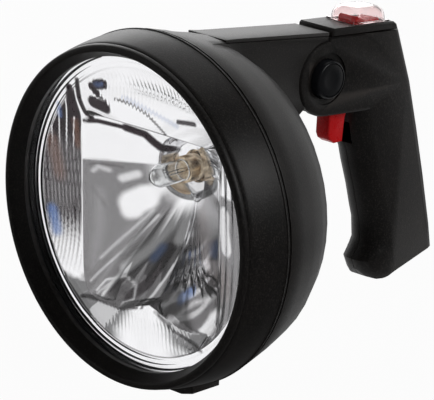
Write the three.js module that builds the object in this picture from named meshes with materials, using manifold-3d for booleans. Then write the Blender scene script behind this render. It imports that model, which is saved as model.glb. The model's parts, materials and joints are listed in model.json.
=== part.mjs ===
// Hand-held halogen searchlight with a folding pistol grip.
// Millimetres, +Z up. The lamp looks along -Y and +X is the side of the hinge button.
// The origin is the middle of the hand on the grip.
import * as THREE from 'three';
import { mergeVertices } from 'three/addons/utils/BufferGeometryUtils.js';
import Module from 'manifold-3d';

const wasm = await Module();
wasm.setup();

// Fits that all pieces share
const fit = { gap: 0.3, slide: 0.5, overrun: 2, weld: 0.02 };

// Lamp head, measured from the front plane of the bezel
const bezel = {
  lensPlay: 0.8,
  wall: 4.7,
  flare: 3.3,
  depth: 27.5,
  glassLap: 4.6,
  slopeInset: 3.6,
  slopeStart: 0.7,
  lipWidth: 2.2,
  lipRound: 1,
  flangeFront: 6.8,
  flangeBack: 9.4,
  ridgeHeight: 0.5,
  ridgeWidth: 1.2,
};
const lens = { radius: 82.8, thickness: 3, crown: 2.4 };
const gasket = { thickness: 1, width: 3.2 };
const reflector = {
  play: 0.6,
  flangeWidth: 3.4,
  flangeThickness: 1.8,
  wall: 2,
  panHalfWidth: 48,
  panTop: 40,
  panBottom: -55,
  panNotch: 6.5,
  panDepth: 6.4,
  riserWall: 1.8,
  vertexDepth: 31,
  holeRadius: 8.4,
  seatRadius: 11.6,
  collarRadius: 17,
  earWidth: 3,
  earReach: 6.4,
};
const bulb = {
  rise: 16,
  glassRadius: 5.6,
  glassWall: 0.8,
  glassLength: 21,
  sleeveRadius: 6.8,
  sleeveLength: 12,
  flangeRadius: 11,
  flangeThickness: 1.2,
  stubRadius: 4,
  stubLength: 3,
  filamentWire: 0.5,
  filamentHalfWidth: 1.8,
  filamentReach: 11,
};
const clip = { wire: 0.7, halfWidth: 7, pinLength: 5, drop: 15, reach: 12.5 };
const housing = {
  depth: 40.3,
  wall: 2.6,
  seamGap: 0.7,
  spigotThickness: 2.6,
  shoulderDepth: 29.6,
  shoulderInset: 8.8,
  backInset: 7.1,
  crown: 4,
  screwBossRadius: 4.6,
  screwBossHeight: 9,
};
const clamp = {
  halfWidth: 20.5,
  overBezel: 2,
  length: 26,
  hang: 3.9,
  corner: 4,
  screwBack: 14,
};

// Neck from the housing to the hinge
const neck = {
  halfWidth: 12,
  flareHalfWidth: 22.8,
  overHinge: 23.8,
  rootRise: 3.5,
  rootLength: 32,
  flareLength: 35,
  flareLap: 6,
  pastHinge: 1.4,
  coverThickness: 1.8,
  coverLap: 0.8,
  channelHalfWidth: 7,
  channelWall: 2.6,
  tongueHalfWidth: 7.6,
  tongueRadius: 16.6,
  underside: 15,
  edge: 0.7,
};

// Hinge between the neck and the grip
const hinge = {
  standOff: 60.5,
  belowRim: 40.6,
  tilt: 5.3,
  cheekRadius: 19.3,
  boltRadius: 3,
  boltHeadRadius: 9,
  boltHeadThickness: 2,
  nutRadius: 5.2,
  nutThickness: 2.2,
  washerRadius: 15,
  washerThickness: 0.8,
};
const button = {
  radius: 9.9,
  proud: 3.4,
  recessRadius: 13.3,
  recessDepth: 1.2,
  length: 10.4,
  wall: 2,
  rim: 1.3,
  dish: 0.8,
  chamfer: 1.2,
  capThickness: 1.9,
  webThickness: 1.4,
  travel: 3,
};
const spring = { wire: 1, turns: 4, radius: 6.8 };

// Pistol grip, measured from the hinge in its own tilted frame
const grip = {
  halfWidth: 12.4,
  wall: 2.4,
  top: 20.9,
  underside: 19.4,
  length: 114,
  depth: 50,
  frontRound: 11,
  rearRound: 5,
  edge: 0.9,
  tuck: 4.6,
  handDrop: 66,
  handBack: 62,
};
const switchPlate = { thickness: 4.1, start: 1.8, seam: 0.4, edge: 0.8, pegRadius: 1.4, pegLength: 2 };
const rocker = {
  centre: 32,
  halfWidth: 6.2,
  halfLength: 9.2,
  valley: 5.8,
  wing: 8.6,
  belly: 3.6,
  pinRadius: 1.2,
  pinDepth: 1.8,
  swing: 12,
};
const boot = { halfWidth: 10.8, halfLength: 13, height: 7.4, wall: 0.8, rim: 1.2, base: 0.6 };
const switchBody = { wall: 1.1, flange: 1.3, flangeThickness: 1, height: 14, well: 7.5, tab: 3 };
const trigger = {
  halfWidth: 4.7,
  front: 12.4,
  back: 23.8,
  bottom: 36.6,
  upperFront: 18.8,
  pinBack: 22.6,
  pinDrop: 12.6,
  pinRadius: 1.5,
  armRadius: 4.2,
  forkHalfWidth: 2.4,
  slotBack: 33,
  slotFloor: 38.2,
};
const triggerSwitch = {
  front: 29.4,
  length: 9,
  drop: 22,
  height: 11,
  halfWidth: 3.4,
  leafThickness: 0.4,
  leafReach: 3.6,
};
const screw = {
  headRadius: 3.1,
  headHeight: 2.2,
  shankRadius: 1.5,
  bossRadius: 4,
  slotWidth: 0.9,
  slotDepth: 0.8,
};
const wire = { radius: 1, spacing: 3.4, facets: 6 };
const inlet = { radius: 6.4, boreRadius: 3, flange: 1.6, flangeThickness: 1.2 };
const terminal = { halfWidth: 9.5, length: 14, height: 9, screwRadius: 1.7, screwRise: 1 };

// Facet counts
const facets = { ring: 48, disc: 32, round: 20, small: 10, bulge: 4 };

// Dependent radii of the head, from the glass outwards
const boreRadius = lens.radius + bezel.lensPlay;
const seamRadius = boreRadius + bezel.wall;
const lipRadius = seamRadius - bezel.flare;
const slopeRadius = lipRadius - bezel.slopeInset;
const openingRadius = lens.radius - bezel.glassLap;
const flangeRadius = boreRadius - reflector.play;
const bowlRadius = flangeRadius - reflector.flangeWidth;
const shoulderRadius = seamRadius - housing.shoulderInset;
const backRadius = shoulderRadius - housing.backInset;
const clampDrop = seamRadius + clamp.hang;
const clampFront = bezel.depth - clamp.overBezel;

// Dependent places along the lamp axis
const lensFront = bezel.flangeBack + gasket.thickness + fit.gap * 2;
const reflectorFront = lensFront + lens.thickness + fit.gap;
const spigotFront = reflectorFront + reflector.flangeThickness + fit.gap;
const housingFront = bezel.depth + housing.seamGap;
const housingBack = housingFront + housing.depth;
const shoulder = housingFront + housing.shoulderDepth;
const panLevel = reflectorFront + reflector.panDepth;
const vertex = panLevel + reflector.vertexDepth;
const holeBack = vertex + reflector.wall;
const bulbFlange = holeBack + fit.gap;
const clipLevel = bulbFlange + bulb.flangeThickness + fit.gap + clip.wire;

// Dependent places of the neck and the hinge
const hingeBack = housingBack + hinge.standOff;
const hingeRise = seamRadius - hinge.belowRim;
const neckEnd = hingeBack + neck.pastHinge;
const neckTopAtHinge = hingeRise + neck.overHinge;
const coverStart = shoulder - neck.coverLap;

// Dependent places across the hinge
const boltHeadSeat = grip.halfWidth - button.recessDepth;
const cheekInside = neck.tongueHalfWidth + hinge.washerThickness + fit.gap * 2;
const buttonTop = grip.halfWidth + button.proud;
const buttonFoot = buttonTop - button.length;
const socketRadius = button.radius + fit.slide;
const socketFloor = buttonFoot - button.travel - fit.slide;
const plateFloor = grip.top + switchPlate.seam;
const plateTop = plateFloor + switchPlate.thickness;
const webOut = buttonTop - button.dish - button.capThickness - hinge.nutThickness - fit.gap * 3;
const leadRise = hinge.boltRadius + fit.gap + wire.radius + fit.slide * 2;
const leadPlaces = [-wire.spacing * 1.35, -wire.spacing * 0.35];
const clampScrewSeat = screw.headHeight * 0.6 - clampDrop;

const black = '#17181a';
const finishes = {
  blackPlastic: { color: black, roughness: 0.62, metalness: 0 },
  darkPlastic: { color: '#1d1e21', roughness: 0.5, metalness: 0 },
  red: { color: '#b3161a', roughness: 0.35, metalness: 0 },
  clear: { color: '#e9eef0', roughness: 0.15, metalness: 0, transparent: true, opacity: 0.35 },
  chrome: { color: '#d8dbe0', roughness: 0.06, metalness: 1 },
  steel: { color: '#9a9da1', roughness: 0.35, metalness: 1 },
  brass: { color: '#b48a4a', roughness: 0.3, metalness: 1 },
  rubber: { color: '#202122', roughness: 0.85, metalness: 0 },
  copper: { color: '#a3262a', roughness: 0.5, metalness: 0 },
  nylon: { color: '#cfcab8', roughness: 0.55, metalness: 0 },
};

// Closed meshes and the cuts between them

function signedVolume(geometry) {
  const position = geometry.getAttribute('position');
  const index = geometry.getIndex();
  const count = index ? index.count : position.count;
  const corners = [new THREE.Vector3(), new THREE.Vector3(), new THREE.Vector3()];
  let volume = 0;
  for (let i = 0; i < count; i += 3) {
    corners.forEach((corner, k) => {
      corner.fromBufferAttribute(position, index ? index.getX(i + k) : i + k);
    });
    volume += corners[0].dot(corners[1].clone().cross(corners[2])) / 6;
  }
  return volume;
}

function welded(geometry) {
  const bare = geometry.clone();
  bare.deleteAttribute('normal');
  bare.deleteAttribute('uv');
  const merged = mergeVertices(bare, fit.weld / 10);
  if (signedVolume(merged) < 0) {
    const index = merged.getIndex();
    for (let i = 0; i < index.count; i += 3) {
      const second = index.getX(i + 1);
      index.setX(i + 1, index.getX(i + 2));
      index.setX(i + 2, second);
    }
  }
  return merged;
}

function solid(geometry) {
  const merged = welded(geometry);
  return new wasm.Manifold(new wasm.Mesh({
    numProp: 3,
    vertProperties: new Float32Array(merged.getAttribute('position').array),
    triVerts: new Uint32Array(merged.getIndex().array),
  }));
}

function skin(manifold) {
  const mesh = manifold.getMesh();
  const geometry = new THREE.BufferGeometry();
  geometry.setAttribute('position', new THREE.BufferAttribute(new Float32Array(mesh.vertProperties), 3));
  geometry.setIndex(new THREE.BufferAttribute(new Uint32Array(mesh.triVerts), 1));
  return geometry;
}

const joined = (first, ...others) => others.reduce((whole, other) => whole.add(other), first);
const cutBy = (first, ...others) => others.reduce((whole, other) => whole.subtract(other), first);

function moved(geometry, x, y, z) {
  geometry.translate(x, y, z);
  return geometry;
}

// A profile of radius and depth turned about the Y axis
function turned(profile, segments = facets.disc) {
  const points = profile.map(([radius, depth]) => new THREE.Vector2(radius, depth));
  return new THREE.LatheGeometry(points, segments);
}

// A disc or ring along Y, from one depth to another
function drum(radius, from, to, segments = facets.round) {
  return turned([[0, from], [radius, from], [radius, to], [0, to]], segments);
}

function ring(outer, inner, from, to, segments = facets.round) {
  return turned([[inner, from], [outer, from], [outer, to], [inner, to], [inner, from]], segments);
}

// The same about the X axis, from one side to another
function across(geometry) {
  geometry.rotateZ(-Math.PI / 2);
  return geometry;
}

function upright(geometry) {
  geometry.rotateX(Math.PI / 2);
  return geometry;
}

function block(x, y, z) {
  const geometry = new THREE.BoxGeometry(x[1] - x[0], y[1] - y[0], z[1] - z[0]);
  return moved(geometry, (x[0] + x[1]) / 2, (y[0] + y[1]) / 2, (z[0] + z[1]) / 2);
}

// A side outline of depth and height, spread evenly across X with chamfered edges
function sideSlab(outline, halfWidth, edge = 0, from = -halfWidth) {
  const shape = new THREE.Shape(outline.map(([y, z]) => new THREE.Vector2(y, z)));
  const geometry = new THREE.ExtrudeGeometry(shape, {
    depth: halfWidth - from - edge * 2,
    bevelEnabled: edge > 0,
    bevelThickness: edge,
    bevelSize: edge,
    bevelOffset: -edge,
    bevelSegments: 1,
    steps: 1,
    curveSegments: facets.round,
  });
  geometry.translate(0, 0, from + edge);
  const turn = new THREE.Matrix4().makeBasis(
    new THREE.Vector3(0, 1, 0),
    new THREE.Vector3(0, 0, 1),
    new THREE.Vector3(1, 0, 0),
  );
  geometry.applyMatrix4(turn);
  return geometry;
}

// A plan outline of width and depth, raised along Z
function planSlab(outline, bottom, top, edge = 0) {
  const shape = new THREE.Shape(outline.map(([x, y]) => new THREE.Vector2(x, y)));
  const geometry = new THREE.ExtrudeGeometry(shape, {
    depth: top - bottom - edge * 2,
    bevelEnabled: edge > 0,
    bevelThickness: edge,
    bevelSize: edge,
    bevelOffset: -edge,
    bevelSegments: 2,
    steps: 1,
  });
  return moved(geometry, 0, 0, bottom + edge);
}

// Rings of equal length joined into one closed skin
function skinned(rings, closed = false) {
  const count = rings[0].length;
  const points = rings.flat();
  const faces = [];
  const spans = closed ? rings.length : rings.length - 1;
  for (let i = 0; i < spans; i += 1) {
    const here = i * count;
    const there = ((i + 1) % rings.length) * count;
    for (let k = 0; k < count; k += 1) {
      const next = (k + 1) % count;
      faces.push(here + k, here + next, there + next, here + k, there + next, there + k);
    }
  }
  if (!closed) {
    for (let k = 1; k < count - 1; k += 1) {
      const last = (rings.length - 1) * count;
      faces.push(0, k + 1, k, last, last + k, last + k + 1);
    }
  }
  const geometry = new THREE.BufferGeometry();
  geometry.setAttribute('position', new THREE.Float32BufferAttribute(points.flat(), 3));
  geometry.setIndex(faces);
  return geometry;
}

// A round rod along a path
function rod(points, radius, steps, sides = wire.facets, bend = 0.5) {
  const stops = points.map((point) => new THREE.Vector3(...point));
  const path = new THREE.CatmullRomCurve3(stops, false, 'catmullrom', bend);
  return rodAlong(path, radius, steps, sides);
}

function rodAlong(path, radius, steps, sides) {
  const section = new THREE.Shape();
  for (let i = 0; i < sides; i += 1) {
    const angle = (i / sides) * Math.PI * 2;
    section[i ? 'lineTo' : 'moveTo'](radius * Math.cos(angle), radius * Math.sin(angle));
  }
  return new THREE.ExtrudeGeometry(section, { steps, bevelEnabled: false, extrudePath: path });
}

// A coil spring about the X axis
class CoilAcross extends THREE.Curve {
  constructor(radius, from, to, turns) {
    super();
    Object.assign(this, { radius, from, to, turns });
  }

  getPoint(t, target = new THREE.Vector3()) {
    const angle = t * this.turns * Math.PI * 2;
    const x = this.from + (this.to - this.from) * t;
    return target.set(x, this.radius * Math.cos(angle), this.radius * Math.sin(angle));
  }
}

function coil(radius, from, to, turns, thickness) {
  const stepsPerTurn = 10;
  const path = new CoilAcross(radius, from, to, turns);
  return rodAlong(path, thickness / 2, Math.round(turns * stepsPerTurn), 5);
}

// A cheese-head screw standing on X, head outwards on the -X side
function sideScrew(headSeat, tip) {
  const head = [
    [0, headSeat - screw.headHeight],
    [screw.headRadius, headSeat - screw.headHeight],
    [screw.headRadius, headSeat],
    [screw.shankRadius, headSeat],
    [screw.shankRadius, tip - screw.shankRadius],
    [0, tip],
  ];
  const slot = block(
    [headSeat - screw.headHeight - fit.overrun, headSeat - screw.headHeight + screw.slotDepth],
    [-screw.slotWidth / 2, screw.slotWidth / 2],
    [-screw.headRadius * 2, screw.headRadius * 2],
  );
  return skin(cutBy(solid(across(turned(head, facets.small))), solid(slot)));
}

// The scene graph: the head and the grip hang on the hinge
const searchlight = new THREE.Group();
const head = new THREE.Group();
const handle = new THREE.Group();
searchlight.add(head, handle);

function piece(group, name, geometry, finish, place = [0, 0, 0]) {
  const mesh = new THREE.Mesh(welded(geometry), new THREE.MeshStandardMaterial(finishes[finish]));
  mesh.name = name;
  mesh.position.set(...place);
  group.add(mesh);
  return mesh;
}

// Bezel ring: rounded lip, inner slope to the glass, and a fine ridge beside each end
function bezelOuter(share) {
  const rise = seamRadius - lipRadius;
  return lipRadius + rise * (1 - (1 - share) ** 2);
}

function bezelProfile() {
  const lipEdge = lipRadius - bezel.lipRound;
  const outerSpan = bezel.depth - bezel.lipRound;
  const bulge = [];
  for (let i = 1; i < facets.bulge; i += 1) {
    const share = i / facets.bulge;
    bulge.push([bezelOuter(share), bezel.lipRound + outerSpan * share]);
  }
  const ridgeFoot = bezel.depth - bezel.ridgeWidth * 2;
  return [
    [openingRadius, bezel.flangeBack],
    [openingRadius, bezel.flangeFront],
    [slopeRadius, bezel.slopeStart],
    [lipEdge - bezel.lipWidth, 0],
    [lipEdge, 0],
    [lipRadius, bezel.lipRound],
    ...bulge,
    [seamRadius, ridgeFoot],
    [seamRadius + bezel.ridgeHeight, ridgeFoot + bezel.ridgeWidth / 2],
    [seamRadius, ridgeFoot + bezel.ridgeWidth],
    [seamRadius, bezel.depth],
    [boreRadius, bezel.depth],
    [boreRadius, bezel.flangeBack],
    [openingRadius, bezel.flangeBack],
  ];
}
piece(head, 'bezel_ring', turned(bezelProfile(), facets.ring), 'blackPlastic');

// Glass and its seal
const gasketOuter = openingRadius + gasket.width;
piece(head, 'lens_gasket', ring(
  gasketOuter,
  openingRadius + fit.gap,
  bezel.flangeBack + fit.gap,
  bezel.flangeBack + fit.gap + gasket.thickness,
  facets.ring,
), 'rubber');

function domed(radius, edgeDepth, crown) {
  const points = [];
  const shares = [0, 0.5, 0.82];
  shares.forEach((share) => {
    points.push([radius * share, edgeDepth - crown * (1 - share * share)]);
  });
  return points;
}

const clearRadius = openingRadius - fit.slide;
piece(head, 'lens', turned([
  ...domed(clearRadius, lensFront, lens.crown),
  [clearRadius, lensFront],
  [lens.radius, lensFront],
  [lens.radius, lensFront + lens.thickness],
  [clearRadius, lensFront + lens.thickness],
  ...domed(clearRadius, lensFront + lens.thickness, lens.crown).reverse(),
], facets.ring), 'clear');

// Reflector: a shallow rim zone round a deep squarish pan, both worked out from the bulb
const panShares = [0.2, 0.42, 0.66, 0.86, 1];
const notchShare = 0.28;
const ceilingFallShare = 0.4;
function panSpan(up) {
  return up > 0 ? reflector.panTop - bulb.rise : bulb.rise - reflector.panBottom;
}

function panReach(angle) {
  const across = Math.abs(Math.cos(angle));
  const side = reflector.panHalfWidth / Math.max(across, fit.weld);
  const notch = Math.sin(angle) < 0 ? reflector.panNotch * Math.max(0, 1 - across / notchShare) : 0;
  const level = (panSpan(Math.sin(angle)) - notch) / Math.max(Math.abs(Math.sin(angle)), fit.weld);
  const sharpness = 8;
  return (side ** -sharpness + level ** -sharpness) ** (-1 / sharpness);
}

function rimReach(angle, radius) {
  const lift = bulb.rise * Math.sin(angle);
  return -lift + Math.sqrt(lift * lift + radius * radius - bulb.rise * bulb.rise);
}

// The pan is folded along its upright middle line and flat where the bulb sits
function panDepthAt(x, up) {
  const fold = Math.max(0, 1 - Math.abs(x) / reflector.panHalfWidth);
  const fall = up > 0 ? ceilingFallShare : 1;
  const rise = Math.max(0, 1 - fall * (up / panSpan(up)) ** 2);
  const outOfSeat = (Math.hypot(x, up) - reflector.seatRadius) / (reflector.collarRadius - reflector.seatRadius);
  const slope = Math.min(1, Math.max(0, outOfSeat));
  return panLevel + reflector.vertexDepth * (1 - slope * (1 - fold * rise));
}

function reflectorRing(reach, depth) {
  const points = [];
  for (let i = 0; i < facets.ring; i += 1) {
    const angle = (i / facets.ring) * Math.PI * 2;
    const r = reach(angle);
    const [x, up] = [r * Math.cos(angle), r * Math.sin(angle)];
    points.push([x, depth(x, up), bulb.rise + up]);
  }
  return points;
}

function reflectorRings(offset) {
  const rings = [];
  const rim = (angle) => rimReach(angle, bowlRadius);
  rings.push(reflectorRing(rim, () => reflectorFront + offset));
  const middle = (reflectorFront + panLevel) / 2 + offset;
  rings.push(reflectorRing((a) => (rim(a) + panReach(a)) / 2, () => middle));
  const outward = offset > 0 ? reflector.riserWall : 0;
  rings.push(reflectorRing((a) => panReach(a) + outward, () => panLevel + offset));
  panShares.forEach((share) => {
    rings.push(reflectorRing(
      (a) => panReach(a) + (reflector.collarRadius - panReach(a)) * share,
      (x, up) => panDepthAt(x, up) + offset,
    ));
  });
  rings.push(reflectorRing(() => reflector.seatRadius, () => vertex + offset));
  rings.push(reflectorRing(() => reflector.holeRadius, () => vertex + offset));
  return rings;
}

function reflectorSolid() {
  const flangeReach = (angle) => rimReach(angle, flangeRadius);
  const flangeBack = reflectorFront + reflector.flangeThickness;
  const bowl = solid(skinned([
    reflectorRing(flangeReach, () => reflectorFront),
    ...reflectorRings(0),
    ...reflectorRings(reflector.wall).reverse(),
    reflectorRing(flangeReach, () => flangeBack),
  ], true));
  const earStart = clip.halfWidth + clip.wire + fit.gap;
  const mountFoot = vertex - reflector.vertexDepth * 0.5;
  const mountBack = clipLevel + reflector.earReach / 2;
  const ears = [-1, 1].map((side) => {
    const sides = [side * earStart, side * (earStart + reflector.earWidth)];
    const reach = [Math.min(...sides), Math.max(...sides)];
    const low = bulb.rise - clip.drop - reflector.earReach / 2;
    const bore = across(drum(
      clip.wire + fit.gap, reach[0] - fit.overrun, reach[1] + fit.overrun, facets.small,
    ));
    return cutBy(
      solid(block(reach, [mountFoot, mountBack], [low, low + reflector.earReach])),
      solid(moved(bore, 0, clipLevel, bulb.rise - clip.drop)),
    );
  });
  const catchFoot = bulb.rise + clip.reach + clip.wire + fit.gap;
  const catchPost = solid(block(
    [-reflector.earWidth, reflector.earWidth],
    [mountFoot - reflector.earReach, mountBack],
    [catchFoot, catchFoot + reflector.wall],
  ));
  const frontKeep = solid(skinned([
    reflectorRing((a) => rimReach(a, bowlRadius), () => -fit.overrun),
    ...reflectorRings(reflector.wall / 2),
  ]));
  return skin(joined(bowl, ...[...ears, catchPost].map((part) => part.subtract(frontKeep))));
}
piece(head, 'reflector', reflectorSolid(), 'chrome');

// Bulb: capsule, filament, brass base and its wire clip
const sleeveFront = bulbFlange - bulb.sleeveLength;
const glassBack = sleeveFront - fit.gap;
const glassTip = glassBack - bulb.glassLength;
const dome = bulb.glassRadius;
piece(head, 'bulb_glass', turned([
  [0, glassTip],
  [dome * 0.35, glassTip + dome * 0.15],
  [dome * 0.8, glassTip + dome * 0.55],
  [dome, glassTip + dome],
  [dome, glassBack],
  [dome - bulb.glassWall, glassBack],
  [dome - bulb.glassWall, glassTip + dome],
  [(dome - bulb.glassWall) * 0.7, glassTip + dome * 0.5 + bulb.glassWall],
  [0, glassTip + bulb.glassWall * 2],
], facets.round), 'clear', [0, 0, bulb.rise]);

const filamentFront = glassBack - bulb.filamentReach;
piece(head, 'bulb_filament', rod([
  [-bulb.filamentHalfWidth, glassBack, 0],
  [-bulb.filamentHalfWidth, filamentFront + bulb.filamentWire, 0],
  [-bulb.filamentHalfWidth, filamentFront, bulb.filamentHalfWidth],
  [bulb.filamentHalfWidth, filamentFront, bulb.filamentHalfWidth],
  [bulb.filamentHalfWidth, filamentFront + bulb.filamentWire, 0],
  [bulb.filamentHalfWidth, glassBack, 0],
], bulb.filamentWire / 2, 16, 4, 0.2), 'steel', [0, 0, bulb.rise]);

const stubBack = bulbFlange + bulb.flangeThickness + bulb.stubLength;
piece(head, 'bulb_base', turned([
  [0, sleeveFront],
  [bulb.sleeveRadius, sleeveFront],
  [bulb.sleeveRadius, bulbFlange],
  [bulb.flangeRadius, bulbFlange],
  [bulb.flangeRadius, bulbFlange + bulb.flangeThickness],
  [bulb.stubRadius, bulbFlange + bulb.flangeThickness],
  [bulb.stubRadius, stubBack],
  [0, stubBack],
], facets.round), 'brass', [0, 0, bulb.rise]);

const clipPin = clip.halfWidth + clip.pinLength;
piece(head, 'bulb_clip', rod([
  [-clipPin, 0, 0],
  [-clip.halfWidth - clip.wire, 0, 0],
  [-clip.halfWidth, 0, clip.wire],
  [-clip.halfWidth, 0, clip.drop + clip.reach - clip.wire],
  [-clip.halfWidth + clip.wire, 0, clip.drop + clip.reach],
  [clip.halfWidth - clip.wire, 0, clip.drop + clip.reach],
  [clip.halfWidth, 0, clip.drop + clip.reach - clip.wire],
  [clip.halfWidth, 0, clip.wire],
  [clip.halfWidth + clip.wire, 0, 0],
  [clipPin, 0, 0],
], clip.wire, 30, 6, 0.1), 'steel', [0, clipLevel, bulb.rise - clip.drop]);

// Rear housing: turned shell, moulded neck and the tongue of the hinge
function neckTop(depth) {
  const share = (neckEnd - depth) / (neckEnd - housingFront);
  const rootShare = Math.max(0, 1 - (depth - housingFront) / neck.rootLength);
  const atSeam = seamRadius - neck.rootRise;
  return neckTopAtHinge + (atSeam - neckTopAtHinge) * share + neck.rootRise * rootShare ** 1.5;
}

function neckTopLine(from, to, drop, count = 6) {
  return Array.from({ length: count + 1 }, (_, i) => {
    const depth = from + ((to - from) * i) / count;
    return [depth, neckTop(depth) - drop];
  });
}

// How far the shell has narrowed, by its depth behind the seam
const bendShares = [[0, 0], [0.4, 0.34], [0.7, 0.66]];

function housingOutline(inset) {
  const backEdge = housingBack - inset;
  const shoulderInset = shoulder - inset * 0.6;
  const fall = seamRadius - shoulderRadius;
  const bend = bendShares.map(([forward, down]) => [
    seamRadius - fall * down - inset,
    housingFront + (shoulderInset - housingFront) * forward,
  ]);
  return [
    ...bend,
    [shoulderRadius - inset, shoulderInset],
    [backRadius - inset, backEdge],
    [backRadius * 0.6, backEdge + housing.crown * 0.7],
    [0, backEdge + housing.crown],
  ];
}

const cheekGap = hinge.cheekRadius + fit.slide;
const flareEnd = housingFront + neck.flareLength;
const neckStart = flareEnd - neck.flareLap;
const flareShares = [[0, 1], [0.35, 0.55], [0.65, 0.24], [1, 0]];
const channelEnd = hingeBack - cheekGap - neck.channelWall;
const channelFloor = hingeRise - hinge.cheekRadius * 0.78;

// The boss inside the shell that takes the clamp's screw
const clampScrewBack = clampFront + clamp.screwBack;
const shellAtScrew = seamRadius
  - ((seamRadius - shoulderRadius) * (clampScrewBack - housingFront)) / housing.shoulderDepth;
const bossFoot = housing.wall / 2 - shellAtScrew;
const clampScrewTip = bossFoot + housing.screwBossHeight * 0.7;

function neckOutline() {
  return [
    ...neckTopLine(neckStart, neckEnd, 0, 7),
    [neckEnd, hingeRise],
    [hingeBack - hinge.cheekRadius * 0.8, hingeRise - hinge.cheekRadius * 0.68],
    [hingeBack - hinge.cheekRadius * 1.75, neck.underside + hinge.cheekRadius * 0.38],
    [housingBack + housing.crown * 2, neck.underside],
    [neckStart, neck.underside],
  ];
}

function flarePlan() {
  const spare = neck.flareHalfWidth - neck.halfWidth;
  const side = flareShares.map(([back, out]) => [
    neck.halfWidth + spare * out,
    housingFront + (flareEnd - housingFront) * back,
  ]);
  return [...side, ...side.map(([x, y]) => [-x, y]).reverse()];
}

// The link between the cheeks, from the disc round the bolt to the neck
function tongueSolid() {
  const link = sideSlab([
    [hingeBack, hingeRise + hinge.cheekRadius * 1.08],
    [hingeBack - hinge.cheekRadius * 1.2, hingeRise + hinge.cheekRadius * 1.08],
    [hingeBack - hinge.cheekRadius * 1.2, hingeRise - hinge.cheekRadius * 0.5],
    [hingeBack - hinge.cheekRadius * 0.8, hingeRise - hinge.cheekRadius * 0.66],
    [hingeBack - neck.tongueRadius * 0.74, hingeRise - neck.tongueRadius * 0.66],
    [hingeBack, hingeRise],
  ], neck.tongueHalfWidth);
  const disc = moved(
    across(drum(neck.tongueRadius, -neck.tongueHalfWidth, neck.tongueHalfWidth, facets.disc)),
    0, hingeBack, hingeRise,
  );
  return joined(solid(link), solid(disc));
}

function tongueBores() {
  const atHinge = (geometry) => solid(moved(geometry, 0, hingeBack, hingeRise));
  const bolt = atHinge(across(drum(
    hinge.boltRadius + fit.gap, -grip.halfWidth, grip.halfWidth, facets.small,
  )));
  const socket = atHinge(across(drum(socketRadius, socketFloor, grip.halfWidth, facets.round)));
  const leads = leadPlaces.map((x) => solid(moved(
    drum(wire.radius + fit.slide, channelEnd - fit.overrun, hingeBack + neck.tongueRadius, facets.small),
    x, 0, hingeRise + leadRise,
  )));
  return [bolt, socket, ...leads];
}

function housingSolid() {
  const shell = solid(turned([[0, housingFront], ...housingOutline(0)], facets.ring));
  const neckBody = solid(sideSlab(neckOutline(), neck.halfWidth, neck.edge));
  const crown = neckTopLine(housingFront, flareEnd, 0, 5).map(([depth, height]) => [height, depth]);
  const flareBody = solid(planSlab(flarePlan(), hingeRise, seamRadius + fit.overrun))
    .intersect(solid(turned([[0, housingFront], ...crown, [0, flareEnd]], facets.ring)));
  const cheekSweep = solid(moved(
    across(drum(cheekGap, -neck.flareHalfWidth, neck.flareHalfWidth, facets.disc)),
    0, hingeBack, hingeRise,
  ));
  const spigotOuter = boreRadius - fit.gap;
  const spigotInner = spigotOuter - housing.spigotThickness;
  const spigot = solid(ring(
    spigotOuter, spigotInner, spigotFront, housingFront + housing.wall, facets.ring,
  ));
  const hollow = solid(turned([
    [0, housingFront - fit.overrun],
    [spigotInner, housingFront - fit.overrun],
    [spigotInner, housingFront + housing.wall],
    ...housingOutline(housing.wall).slice(1),
  ], facets.ring));
  const cover = solid(sideSlab([
    ...neckTopLine(coverStart, neckEnd + fit.overrun, -fit.overrun, 6),
    ...neckTopLine(coverStart, neckEnd + fit.overrun, neck.coverThickness + fit.gap, 6).reverse(),
  ], neck.flareHalfWidth));
  const channel = solid(sideSlab([
    ...neckTopLine(coverStart + neck.channelWall, channelEnd, -fit.overrun, 3),
    [channelEnd, channelFloor + neck.channelWall],
    [coverStart + neck.channelWall, channelFloor],
  ], neck.channelHalfWidth));
  const bossTop = bossFoot + housing.screwBossHeight;
  const boss = solid(moved(
    upright(drum(housing.screwBossRadius, bossFoot, bossTop, facets.small)),
    0, clampScrewBack, 0,
  ));
  const bossHole = solid(moved(
    upright(drum(
      screw.shankRadius + fit.gap, -seamRadius - fit.overrun, clampScrewTip + fit.slide, facets.small,
    )),
    0, clampScrewBack, 0,
  ));
  const outside = cutBy(joined(shell, flareBody, neckBody.subtract(cheekSweep)), hollow);
  const whole = joined(outside, tongueSolid().subtract(hollow), spigot, boss);
  return skin(cutBy(whole, cover, channel, ...tongueBores(), bossHole));
}
piece(head, 'rear_housing', housingSolid(), 'blackPlastic');

function neckCover() {
  const start = coverStart + fit.gap;
  const flare = flarePlan();
  const plate = solid(sideSlab([
    ...neckTopLine(start, neckEnd, 0, 6),
    ...neckTopLine(start, neckEnd, neck.coverThickness, 6).reverse(),
  ], neck.flareHalfWidth)).intersect(solid(planSlab([
    ...flare.slice(0, flareShares.length),
    [neck.halfWidth, neckEnd + fit.overrun],
    [-neck.halfWidth, neckEnd + fit.overrun],
    ...flare.slice(flareShares.length),
  ], hingeRise, seamRadius + fit.overrun)));
  const hookFoot = neck.coverThickness * 4;
  const hooks = [0.25, 0.62].map((share) => {
    const depth = coverStart + (neckEnd - coverStart) * share;
    const top = neckTop(depth) - neck.coverThickness / 2;
    return solid(block(
      [-neck.channelHalfWidth + fit.gap, neck.channelHalfWidth - fit.gap],
      [depth, depth + neck.coverThickness],
      [top - hookFoot, top],
    ));
  });
  return skin(joined(plate, ...hooks));
}
piece(head, 'neck_cover', neckCover(), 'blackPlastic');

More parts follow.
